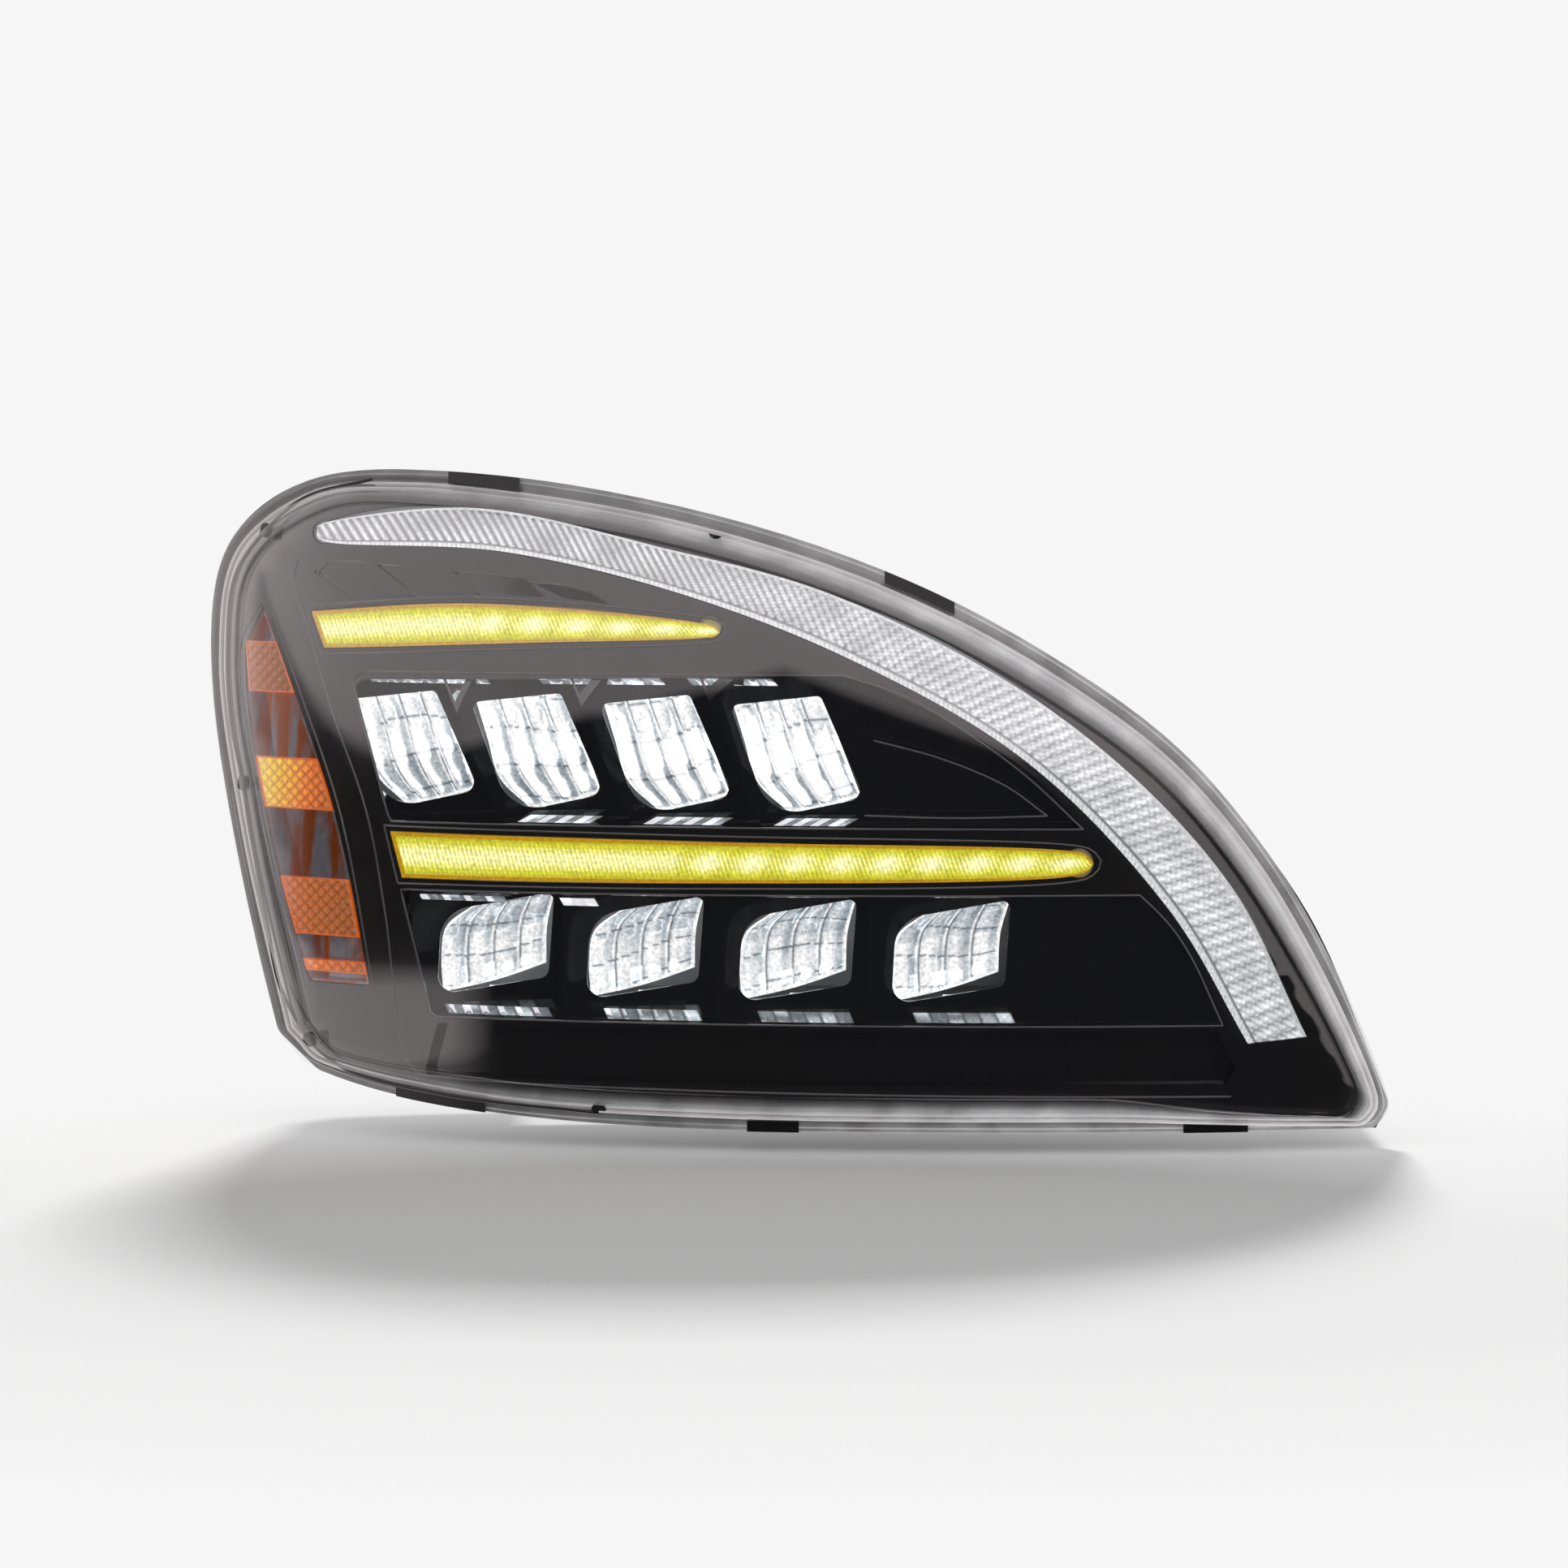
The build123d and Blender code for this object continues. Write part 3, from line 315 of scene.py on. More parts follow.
def ribbon_slab(name, x, z, near, far, **facts):
    """A slab on the lamp whose front lies at the depths near and whose back lies at the depth far."""
    front = np.column_stack([values.ravel() for values in (x, lens_y(x, z) + near, z)])
    back = np.column_stack([values.ravel() for values in (x, lens_y(x, z) + far, z)])
    if facts.get("colours") is not None:
        facts["colours"] = np.vstack((facts["colours"], facts["colours"]))
    make_mesh(name, np.vstack((front, back)), slab_faces(*x.shape), body="lamp", **facts)


def tube(path, depth, radius, first):
    """Points and faces of a round bead along a path at a depth behind the crown."""
    line, _ = spaced(path, max(6, int(np.ptp(path, axis=0).max() / BEAD_STEP)))
    way = np.gradient(line, axis=0)
    way /= np.linalg.norm(way, axis=1)[:, None]
    points, faces = [], []
    for side in range(BEAD_SIDES):
        angle = 2 * math.pi * side / BEAD_SIDES
        x = line[:, 0] - way[:, 1] * radius * math.cos(angle)
        z = line[:, 1] + way[:, 0] * radius * math.cos(angle)
        points.append(np.column_stack((x, lens_y(*line.T) + depth - radius * math.sin(angle), z)))
    points = np.stack(points, axis=1).reshape(-1, 3)
    for start in range(first, first + (len(line) - 1) * BEAD_SIDES, BEAD_SIDES):
        for side in range(BEAD_SIDES):
            a, b = start + side, start + (side + 1) % BEAD_SIDES
            faces.append([a, b, b + BEAD_SIDES, a + BEAD_SIDES])
    last = first + (len(line) - 1) * BEAD_SIDES
    faces.append([first + side for side in range(BEAD_SIDES)])
    faces.append([last + side for side in reversed(range(BEAD_SIDES))])
    return points, faces


def beads(name, paths, depth, radius, material, slot):
    """Beads along several paths, in one piece."""
    points, faces = np.empty((0, 3)), []
    for path in paths:
        more, added = tube(path, depth, radius, len(points))
        points = np.vstack((points, more))
        faces += added
    make_mesh(name, points, faces, material=material, body="lamp", slot=slot)


# ---------------------------------------------------------------- materials


def node(tree, kind, inputs=None, **settings):
    """Adds a shader node; an input may be a value or another node's output."""
    made = tree.nodes.new("ShaderNode" + kind)
    for key, value in settings.items():
        setattr(made, key, value)
    for key, value in (inputs or {}).items():
        if isinstance(value, bpy.types.NodeSocket):
            tree.links.new(value, made.inputs[key])
        else:
            made.inputs[key].default_value = value
    return made


def new_material(name):
    """An empty material, its node tree, and the place on the object that patterns follow."""
    material = bpy.data.materials.new(name)
    material.use_nodes = True
    tree = material.node_tree
    tree.nodes.clear()
    return material, tree, node(tree, "TexCoord").outputs["Object"]


def show(tree, shader):
    """Makes the shader the surface of the material."""
    tree.links.new(shader, node(tree, "OutputMaterial").inputs["Surface"])


def show_principled(tree, inputs):
    """Makes one Principled shader the surface of the material."""
    show(tree, node(tree, "BsdfPrincipled", inputs).outputs[0])


def mixed_colour(tree, share, a, b):
    """Colour a where the share is 0, and b where it is 1."""
    return node(tree, "Mix", {0: share, 6: a, 7: b}, data_type="RGBA").outputs[2]


def rgba(colour):
    """An opaque colour."""
    return (*colour, 1.0)


def noise(tree, place, scale):
    """Smooth noise with so many cells to the metre."""
    inputs = {"Vector": place, "Scale": scale, "Detail": NOISE_DETAIL}
    return node(tree, "TexNoise", inputs).outputs["Fac"]


def math_node(tree, operation, *inputs):
    """Result of a Math node on up to three inputs."""
    return node(tree, "Math", dict(enumerate(inputs)), operation=operation).outputs[0]


def ranged(tree, value, low, high, start=0.3, end=0.7):
    """The value between start and end, carried over to low and high."""
    inputs = {"Value": value, "From Min": start, "From Max": end, "To Min": low, "To Max": high}
    return node(tree, "MapRange", inputs).outputs["Result"]


def finish_of(name, dark, light, rough, grain=900, relief=0.00004, patches=14, **sockets):
    """Moulded or cast finish: mottled tone, uneven roughness and a fine relief."""
    material, tree, place = new_material(name)
    colour = mixed_colour(tree, noise(tree, place, patches), rgba(dark), rgba(light))
    height = noise(tree, place, grain)
    bump = node(tree, "Bump", {"Height": height, "Distance": relief, "Strength": 0.6})
    inputs = {
        "Base Color": colour,
        "Roughness": ranged(tree, noise(tree, place, patches * 3), *rough),
        "Normal": bump.outputs["Normal"],
        **sockets,
    }
    show_principled(tree, inputs)
    return material


def lens_finish():
    """Clear moulding whose skirt and flange are milky, with a painted highlight that glows on the
    shoulder.
    """
    material, tree, place = new_material("lens_polycarbonate")
    facing = node(tree, "LayerWeight", {"Blend": 0.5}).outputs["Facing"]
    grazing = math_node(tree, "POWER", facing, 4.0)
    share = ranged(tree, grazing, 0.045, 0.95, 0.0, 1.0)
    haze = ranged(tree, noise(tree, place, 30), 0.015, 0.05)
    clear = node(tree, "BsdfTransparent", {"Color": rgba((0.985, 0.985, 0.985))}).outputs[0]
    gloss = node(tree, "BsdfGlossy", {"Color": (1, 1, 1, 1), "Roughness": haze}).outputs[0]
    pane = node(tree, "MixShader", {0: share, 1: clear, 2: gloss}).outputs[0]
    # Painted highlight: the milky share painted on the mesh sets how much of the glowing frosted shader
    # shows.
    milk_and_highlight = node(tree, "Attribute", attribute_name="glow").outputs["Fac"]
    streaks = ranged(tree, noise(tree, place, 40), 0.6, 1.3)
    streaked_highlight = math_node(tree, "MULTIPLY", milk_and_highlight, streaks)
    grey, white = rgba((0.45, 0.45, 0.46)), rgba((0.85, 0.85, 0.86))
    tone = mixed_colour(tree, noise(tree, place, 18), grey, white)
    inputs = {
        "Base Color": tone,
        "Roughness": 0.25,
        "Coat Weight": 0.5,
        "Emission Color": tone,
        "Emission Strength": 0.55,
    }
    frosted_highlight = node(tree, "BsdfPrincipled", inputs).outputs[0]
    show(tree, node(tree, "MixShader", {0: streaked_highlight, 1: pane, 2: frosted_highlight}).outputs[0])
    return material


def crystal_finish():
    """Clear holders of the LEDs, which sparkle with the light beside them."""
    material, tree, place = new_material("light_crystal")
    cells = node(tree, "TexVoronoi", {"Vector": place, "Scale": 190.0}).outputs["Color"]
    value = node(tree, "SeparateXYZ", {0: cells}).outputs["X"]
    tone = mixed_colour(tree, value, rgba((0.05, 0.06, 0.07)), rgba((0.86, 0.92, 0.96)))
    inputs = {
        "Base Color": rgba((0.5, 0.52, 0.54)),
        "Metallic": 0.4,
        "Roughness": 0.1,
        "Emission Color": tone,
        "Emission Strength": 0.75,
    }
    show_principled(tree, inputs)
    return material


def glowing_finish(name, base, metallic, rough, strength):
    """A lit optic: its glow is painted on the mesh, under a glossy skin."""
    material, tree, place = new_material(name)
    glow = node(tree, "Attribute", attribute_name="glow").outputs["Color"]
    flecks = ranged(tree, noise(tree, place, 420), 0.7, 1.25)
    flecked = node(tree, "VectorMath", {0: glow, "Scale": flecks}, operation="SCALE").outputs[0]
    inputs = {
        "Base Color": rgba(base),
        "Metallic": metallic,
        "Roughness": ranged(tree, noise(tree, place, 90), rough, rough * 2),
        "Coat Weight": 0.5,
        "Emission Color": flecked,
        "Emission Strength": strength,
    }
    show_principled(tree, inputs)
    return material


def marker_chrome():
    """Bright metal behind the side marker, with painted reflections of the amber light as upright streaks
    in its colour and glow.
    """
    material, tree, place = new_material("side_marker_chrome")
    upright = node(tree, "Mapping", {"Vector": place, "Scale": (1.0, 1.0, 0.16)}).outputs[0]
    # Painted reflection: amber streaks in the base colour and emission stand in for the marker's light.
    streaks = ranged(tree, noise(tree, upright, 75), 0.0, 1.0, 0.42, 0.58)
    tone = mixed_colour(tree, streaks, rgba((0.34, 0.07, 0.006)), rgba((0.26, 0.25, 0.28)))
    inputs = {
        "Base Color": tone,
        "Metallic": 0.9,
        "Roughness": ranged(tree, noise(tree, place, 120), 0.06, 0.22),
        "Emission Color": tone,
        "Emission Strength": 0.22,
    }
    show_principled(tree, inputs)
    return material


def spun_metal(name, dark, light, rough, stretch=(1, 1, 1), grain=500, **sockets):
    """Machined or extruded metal with streaks along one way."""
    material, tree, place = new_material(name)
    pulled = node(tree, "Mapping", {"Vector": place, "Scale": stretch}).outputs[0]
    streaks = noise(tree, pulled, grain)
    bump = node(tree, "Bump", {"Height": streaks, "Distance": 0.00003, "Strength": 0.5})
    inputs = {
        "Base Color": mixed_colour(tree, streaks, rgba(dark), rgba(light)),
        "Metallic": 1.0,
        "Roughness": ranged(tree, streaks, *rough),
        "Normal": bump.outputs["Normal"],
        **sockets,
    }
    show_principled(tree, inputs)
    return material


def circuit_finish():
    """White solder mask with faint copper tracks under it."""
    material, tree, place = new_material("circuit_board")
    squares = node(tree, "TexVoronoi", {"Vector": place, "Scale": 260.0}, distance="CHEBYCHEV")
    cells = squares.outputs["Distance"]
    tracks = ranged(tree, cells, 0.0, 1.0, 0.42, 0.5)
    mask, copper = rgba((0.62, 0.64, 0.62)), rgba((0.30, 0.34, 0.30))
    inputs = {
        "Base Color": mixed_colour(tree, tracks, mask, copper),
        "Roughness": ranged(tree, cells, 0.3, 0.5),
        "Normal": node(tree, "Bump", {"Height": tracks, "Distance": 0.00003}).outputs["Normal"],
    }
    show_principled(tree, inputs)
    return material


def emitter_finish():
    """Phosphor of the LEDs, lit white."""
    material, tree, place = new_material("led_phosphor")
    cool, white = rgba((0.8, 0.9, 1.0)), rgba((1, 1, 1))
    inputs = {
        "Base Color": rgba((0.9, 0.8, 0.4)),
        "Roughness": 0.5,
        "Emission Color": mixed_colour(tree, noise(tree, place, 300), cool, white),
        "Emission Strength": 6.0,
    }
    show_principled(tree, inputs)
    return material


FINISHES = {
    "housing_black": finish_of(
        "housing_grained", (0.018, 0.018, 0.019), (0.024, 0.024, 0.026), (0.46, 0.56)
    ),
    "clear_lens": lens_finish(),
    "sealant": finish_of(
        "sealant_bead", (0.02, 0.02, 0.02), (0.035, 0.035, 0.035), (0.55, 0.75), 300, 0.0002
    ),
    "clip_black": finish_of("clip_nylon", (0.008, 0.008, 0.008), (0.018, 0.018, 0.018), (0.25, 0.4)),
    "bezel_black": finish_of(
        "bezel_gloss", (0.006, 0.007, 0.010), (0.016, 0.011, 0.009), (0.09, 0.16), 20, 0.000002, 9,
        **{"Coat Weight": 0.6, "Coat Roughness": 0.05},
    ),
    "drl_clear": finish_of(
        "clear_moulded", (0.55, 0.56, 0.58), (0.75, 0.76, 0.78), (0.08, 0.18), 300, 0.00001, 40,
        **{"Coat Weight": 0.6},
    ),
    "white_tray": finish_of(
        "tray_silvered", (0.70, 0.72, 0.74), (0.86, 0.87, 0.88), (0.2, 0.35), 400, 0.00004
    ),
    "circuit": circuit_finish(),
    "amber_lens": finish_of(
        "amber_moulded", (0.50, 0.13, 0.005), (0.80, 0.28, 0.01), (0.08, 0.16), 300, 0.00001, 40,
        **{"Coat Weight": 0.6},
    ),
    "chrome": finish_of(
        "chrome_smoked", (0.30, 0.22, 0.20), (0.72, 0.70, 0.72), (0.06, 0.16), 200, 0.00002, 60,
        Metallic=1.0,
    ),
    "emitter": emitter_finish(),
    "die_cast": finish_of(
        "die_cast", (0.34, 0.35, 0.36), (0.46, 0.47, 0.48), (0.35, 0.55), 700, 0.00006, Metallic=0.9
    ),
    "fin_aluminium": spun_metal(
        "extruded_fins", (0.55, 0.56, 0.58), (0.74, 0.75, 0.76), (0.28, 0.45), (1, 20, 1)
    ),
    "bush": finish_of("bush_acetal", (0.68, 0.67, 0.62), (0.78, 0.77, 0.72), (0.35, 0.5)),
    "zinc_steel": spun_metal(
        "zinc_plate", (0.52, 0.50, 0.42), (0.70, 0.69, 0.62), (0.22, 0.42), (1, 6, 1)
    ),
    "strap_steel": finish_of(
        "strap_zinc", (0.42, 0.43, 0.44), (0.56, 0.57, 0.58), (0.28, 0.46), 350, 0.00003, 40,
        Metallic=1.0,
    ),
    "brass_nut": spun_metal(
        "turned_brass", (0.58, 0.40, 0.14), (0.76, 0.56, 0.24), (0.2, 0.36), (8, 1, 8)
    ),
    "grey_plastic": finish_of("collar_grey", (0.22, 0.22, 0.23), (0.30, 0.30, 0.31), (0.4, 0.55)),
    "cap_black": finish_of(
        "cap_grained", (0.010, 0.010, 0.011), (0.022, 0.022, 0.023), (0.38, 0.55), 1200
    ),
    "seal_rubber": finish_of("seal_rubber", (0.018, 0.018, 0.018), (0.03, 0.03, 0.03), (0.6, 0.8)),
    "contact": spun_metal(
        "tinned_contact", (0.62, 0.60, 0.56), (0.80, 0.78, 0.74), (0.18, 0.32), (1, 8, 1)
    ),
}
LIT_AMBER = glowing_finish("turn_amber_lit", (0.16, 0.11, 0.004), 0.0, 0.10, 1.15)
LIT_SILVER = glowing_finish("reflector_lit", (0.80, 0.84, 0.88), 1.0, 0.05, 1.0)
MARKER_CHROME = marker_chrome()
CRYSTAL = crystal_finish()
LIT_MARKER = glowing_finish("side_marker_amber", (0.30, 0.07, 0.002), 0.0, 0.07, 1.0)
LIT_CRYSTAL = glowing_finish("drl_prisms", (0.40, 0.41, 0.42), 0.5, 0.08, 1.0)
# Painted highlight: the beads are a lighter grey than the bezel they stand on, so their lines read as lit
# edges.
BEAD_GLOSS = finish_of(
    "bead_gloss", (0.05, 0.05, 0.055), (0.11, 0.105, 0.11), (0.06, 0.14), 300, 0.00001, 12,
    **{"Coat Weight": 1.0},
)
BOWL_GLOSS = finish_of(
    "bowl_mirror_black", (0.004, 0.005, 0.008), (0.011, 0.009, 0.009), (0.02, 0.07), 300, 0.000004, 9,
    **{"Coat Weight": 1.0, "Coat Roughness": 0.02, "Specular IOR Level": 0.9},
)


def dress_frame():
    """Gives every CAD node the finish of its slot."""
    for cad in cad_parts.values():
        for place in cad.material_slots:
            slot = next(name for name in FINISHES if place.material.name.split(".")[0] == name)
            place.material = FINISHES[slot]
    for name in ("low_bowl", "high_bowl"):
        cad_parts[name].material_slots[0].material = BOWL_GLOSS
    for name in ("low_led_holders", "high_led_holders"):
        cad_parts[name].material_slots[0].material = CRYSTAL
    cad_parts["side_marker_reflector"].material_slots[0].material = MARKER_CHROME


# ---------------------------------------------------------------- lens shell


def inward(rim):
    """Unit vectors from the rim towards the middle of the lens, smoothed along it."""
    core = rim.mean(axis=0) + (rim - rim.mean(axis=0)) * 0.55
    gaps = np.linalg.norm(rim[:, None] - core[None], axis=2)
    ways = core[gaps.argmin(axis=1)] - rim
    ways /= np.linalg.norm(ways, axis=1)[:, None]
    spread = sum(np.roll(ways, shift, axis=0) for shift in range(-6, 7))
    return spread / np.linalg.norm(spread, axis=1)[:, None]


def inside(points, loop):
    """Which points lie inside a closed loop."""
    x, z = points[:, 0][:, None], points[:, 1][:, None]
    after = np.roll(loop, -1, axis=0)
    crosses = (loop[:, 1] > z) != (after[:, 1] > z)
    rise = np.where(after[:, 1] == loop[:, 1], 1e-9, after[:, 1] - loop[:, 1])
    meets = (after[:, 0] - loop[:, 0]) * (z - loop[:, 1]) / rise + loop[:, 0]
    return (crosses & (x < meets)).sum(axis=1) % 2 == 1


def crown_patch(loop):
    """Points inside the last loop of the shoulder, and triangles over loop and points."""
    low, high = loop.min(axis=0), loop.max(axis=0)
    x, z = np.meshgrid(np.arange(low[0], high[0], CROWN_GRID), np.arange(low[1], high[1], CROWN_GRID))
    grid = np.column_stack((x.ravel(), z.ravel()))
    clear = np.linalg.norm(grid[:, None] - loop[None], axis=2).min(axis=1) > CROWN_GRID * 0.45
    grid = grid[clear & inside(grid, loop)]
    points = [Vector(point) for point in np.vstack((loop, grid))]
    count = len(loop)
    edges = [(i, (i + 1) % count) for i in range(count)]
    flat, _, faces, *_ = delaunay_2d_cdt(points, edges, [list(range(count))], 1, 1e-4)
    return np.array([tuple(point) for point in flat])[count:], [list(face) for face in faces]


def edge_milk_and_highlight(x, inset):
    """How milky the wall looks and how bright its painted highlight is: most on the flange, none on the
    crown, and less outboard.
    """
    return np.interp(x, *MILK_AND_HIGHLIGHT_X) * np.interp(inset, *MILK_AND_HIGHLIGHT_INSET)


def lens_section():
    """Inset and depth from the back of the flange to the crown."""
    arc = [math.radians(angle) for angle in range(0, 91, SHOULDER_STEP)]
    wide, deep = SHOULDER
    shoulder = [(SHOULDER_START[0] + wide * (1 - math.cos(a)), deep * (1 - math.sin(a))) for a in arc]
    return FLANGE + shoulder + GROOVE


def skirt_faces(rings, count):
    """Faces between closed rings of points that follow one another."""
    faces = []
    for start in range(0, (rings - 1) * count, count):
        for a in range(count):
            b = (a + 1) % count
            faces.append([start + a, start + b, start + count + b, start + count + a])
    return faces


def lens_shell():
    """Clear cover: flange, skirt, rounded shoulder and crown in one skin with a wall."""
    rim, _ = spaced(smooth(LENS_RIM + LENS_RIM[:1]), RIM_POINTS + 1)
    rim = np.clip(rim[:-1], RIM_LOW, RIM_HIGH)
    ways = inward(rim)
    section = lens_section()
    loops = [rim + ways * inset for inset, _ in section]
    filling, triangles = crown_patch(loops[-1])
    flat = np.vstack((*loops, filling))
    depths = np.zeros(len(flat))
    # Painted highlight: the milky share of each ring, handed to the shader as the glow attribute.
    milk_and_highlight = np.zeros(len(flat))
    for ring, (inset, depth) in enumerate(section):
        span = slice(ring * RIM_POINTS, (ring + 1) * RIM_POINTS)
        depths[span] = depth
        milk_and_highlight[span] = edge_milk_and_highlight(flat[span, 0], inset)
    faces = skirt_faces(len(section), RIM_POINTS)
    first = (len(section) - 1) * RIM_POINTS
    faces += [[first + corner for corner in face] for face in triangles]
    shell = make_mesh(
        "lens_shell", np.column_stack((flat[:, 0], lens_y(*flat.T) + depths, flat[:, 1])), faces,
        material=FINISHES["clear_lens"], body="lamp", slot="clear_lens", replaced=["outer_lens"],
        creased=60, colours=np.repeat(milk_and_highlight[:, None], 3, axis=1),
    )  # fmt: skip
    wall = shell.modifiers.new("wall", "SOLIDIFY")
    wall.thickness = LENS_WALL * MM
    wall.offset = -1


# ---------------------------------------------------------------- optics


def drl_lens():
    """Running-light crescent: slanted prisms, crossed further along, and a ribbed rim below."""
    across = [0, 0.02, 0.05, *np.linspace(0.08, 0.84, 15), 0.86, 0.88, 0.91, 0.94, 0.97, 1]
    x, z, along, share = ribbon(DRL_OUTER, DRL_INNER, across, 1300)
    down = share * np.hypot(x[-1] - x[0], z[-1] - z[0])
    further = np.clip((along - CROSSED_START) / CROSSED_LENGTH, 0, 1)
    slanted = triangle((along - 0.6 * down) / PRISM_PITCH) ** 1.4
    crossed = triangle((along + 1.1 * down) / CROSSED_PITCH)
    prisms = slanted * (1 - 0.45 * further) + crossed * 0.6 * further
    rim = 0.3 + 0.7 * triangle(along / DRL_RIM_PITCH)
    on_rim, groove, top = share > 0.885, share > 0.855, share < 0.06
    height = np.where(on_rim, rim, np.where(groove, 0, np.where(top, 0.9, prisms)))
    patches = 0.5 + 0.5 * np.sin(along / 13 + 2.2 * np.sin(along / 31)) * np.cos(down / 6 + along / 47)
    bright = 0.09 + 0.95 * prisms**1.3 * (0.50 + 0.50 * patches) + 0.10 * further
    bright = np.where(on_rim, 0.25 + 0.5 * rim, np.where(groove, 0.12, np.where(top, 0.5, bright)))
    glow = np.repeat(bright.ravel()[:, None], 3, axis=1) * (0.97, 0.98, 1.0)
    near = DRL_FRONT - PRISM_HEIGHT * height
    ribbon_slab(
        "drl_crescent", x, z, near, DRL_BACK, material=LIT_CRYSTAL,
        slot="drl_clear", replaced=["drl_lens"], colours=glow,
    )  # fmt: skip


def turn_strip(name, top, bottom, replaced):
    """Lit turn-signal strip: amber edge round finely ribbed yellow cells."""
    across = [0, 0.04, 0.08, 0.10, *np.linspace(0.13, 0.87, 17), 0.90, 0.92, 0.96, 1]
    length = top[-1][0] - top[0][0]
    x, z, along, share = ribbon(top, bottom, across, int(length * 2))
    ribs = triangle(along / RIB_PITCH)
    rows = triangle(share * CELL_ROWS)
    waves = triangle((along + HOT_SPOT_LEAN * share) / HOT_SPOT_PITCH)
    rim = (share < 0.09) | (share > 0.91) | (along < 3) | (along > length - 5)
    fine = along < length * FINE_SHARE
    height = np.where(rim, 0.95, 0.2 + 0.5 * ribs + 0.2 * rows * fine)
    glow = strip_glow(ribs, rows, waves, fine, share)
    glow[rim.ravel()] = STRIP_EDGE
    ribbon_slab(
        name, x, z, STRIP_FRONT - PRISM_HEIGHT * height, STRIP_BACK, material=LIT_AMBER,
        slot="amber_lens", replaced=[replaced], colours=glow,
    )  # fmt: skip


def strip_glow(ribs, rows, waves, fine, share):
    """Colour of the light in a strip: olive at its edges and between ribs, near white in the middle."""
    middle = np.clip(1.25 - np.abs(2 * share - 1) * 1.45, 0, 1)
    wavy = 0.16 + 0.62 * ribs * middle + 0.42 * waves * middle
    cells = 0.16 + 1.15 * middle * (0.25 + 0.75 * ribs) * (0.6 + 0.4 * rows)
    heat = np.clip(np.where(fine, cells, wavy), 0, 1).ravel()
    channels = zip(OLIVE, YELLOW, PALE_YELLOW)
    return np.column_stack([np.interp(heat, [0, 0.45, 0.9], stops) for stops in channels])


def reflector_glow(u, v, near_led, edge, seed):
    """Cool white light in fluted columns, parted by thin lines, darker and bluer away from the LED."""
    column = (u * COLUMNS) % 1
    flute = 0.5 + 0.5 * np.cos(2 * np.pi * (column - 0.3))
    streak = 0.5 + 0.5 * np.sin(61 * u + 3 * np.sin(11 * u + seed) + 1.5 * v)
    cloud = 0.5 + 0.5 * np.sin(9 * u + 6.1 * v + seed) * np.cos(8.3 * v - 5.2 * u + 2.1 * seed)
    speckle = np.modf(np.abs(np.sin(u * 1271.7 + v * 3117.3 + seed) * 4375.5))[0]
    bright = 0.30 + 0.38 * flute + 0.30 * cloud + 0.16 * streak + 0.26 * near_led
    bright = np.where(near_led < 0.45, bright * (0.62 + 0.30 * speckle), bright)
    row = (v * STEPS + 0.25 * np.sin(3 * u + seed)) % 1
    bright = np.where((column < 0.06) | (row < 0.05), bright * 0.30, bright)
    bright = np.where((column > 0.90) & (row > 0.05), 1.05, bright)
    bright = np.clip(np.where(edge, 1.05, bright), 0.08, 1.1)
    cool = np.clip(1.0 - bright, 0, 1)
    return np.column_stack([(bright * (1 - share * cool)).ravel() for share in (0.34, 0.15, 0.0)])


def reflector(row_name, index):
    """Bowl of one LED: fluted columns crossed by fine steps, inside a raised bead."""
    row = ROWS[row_name]
    left = row["x"] + index * row["pitch"]
    front = lens_y(left, row["middle"]) + REFLECTOR_SETBACK
    sides = [spaced(smooth(side), REFLECTOR_GRID)[0] + (left, 0) for side in REFLECTOR_SIDES[row_name]]
    shares = np.linspace(0, 1, REFLECTOR_GRID)
    u, v = np.meshgrid(shares, shares)
    x = sides[0][:, :1] * (1 - u) + sides[1][:, :1] * u
    z = sides[0][:, 1:] * (1 - u) + sides[1][:, 1:] * u
    z = z + 2.5 * np.sin(np.pi * u) * (1 - 2 * v)
    across = x - left - row["width"] / 2
    bowl = np.sqrt(DISH_RADIUS**2 - across**2 - (z - row["led"]) ** 2)
    column = (u * COLUMNS) % 1
    flutes = FLUTE_HEIGHT * np.sin(np.pi * column)
    steps = 0.5 * triangle(v * STEPS)
    edge = (u < 0.025) | (u > 0.975) | (v < 0.025) | (v > 0.975)
    relief = np.where(edge, BEAD_HEIGHT, flutes + steps)
    surface = np.maximum(front + DISH_SAG - DISH_RADIUS + bowl, front) + 2.2 - relief
    near_led = 1 - v if row["led_at_top"] else v
    glow = reflector_glow(u, v, near_led, edge, seed=1.7 * index + row["seed"])
    points = np.column_stack([values.ravel() for values in (x, surface, z)])
    make_mesh(
        f"{row_name}_mirror_{index + 1}", np.vstack((points, points + (0, REFLECTOR_WALL, 0))),
        slab_faces(REFLECTOR_GRID, REFLECTOR_GRID), material=LIT_SILVER,
        body=f"{row_name}_beam", slot="chrome",
        replaced=[f"{row_name}_reflector_{index + 1}"], colours=np.vstack((glow, glow)),
    )  # fmt: skip


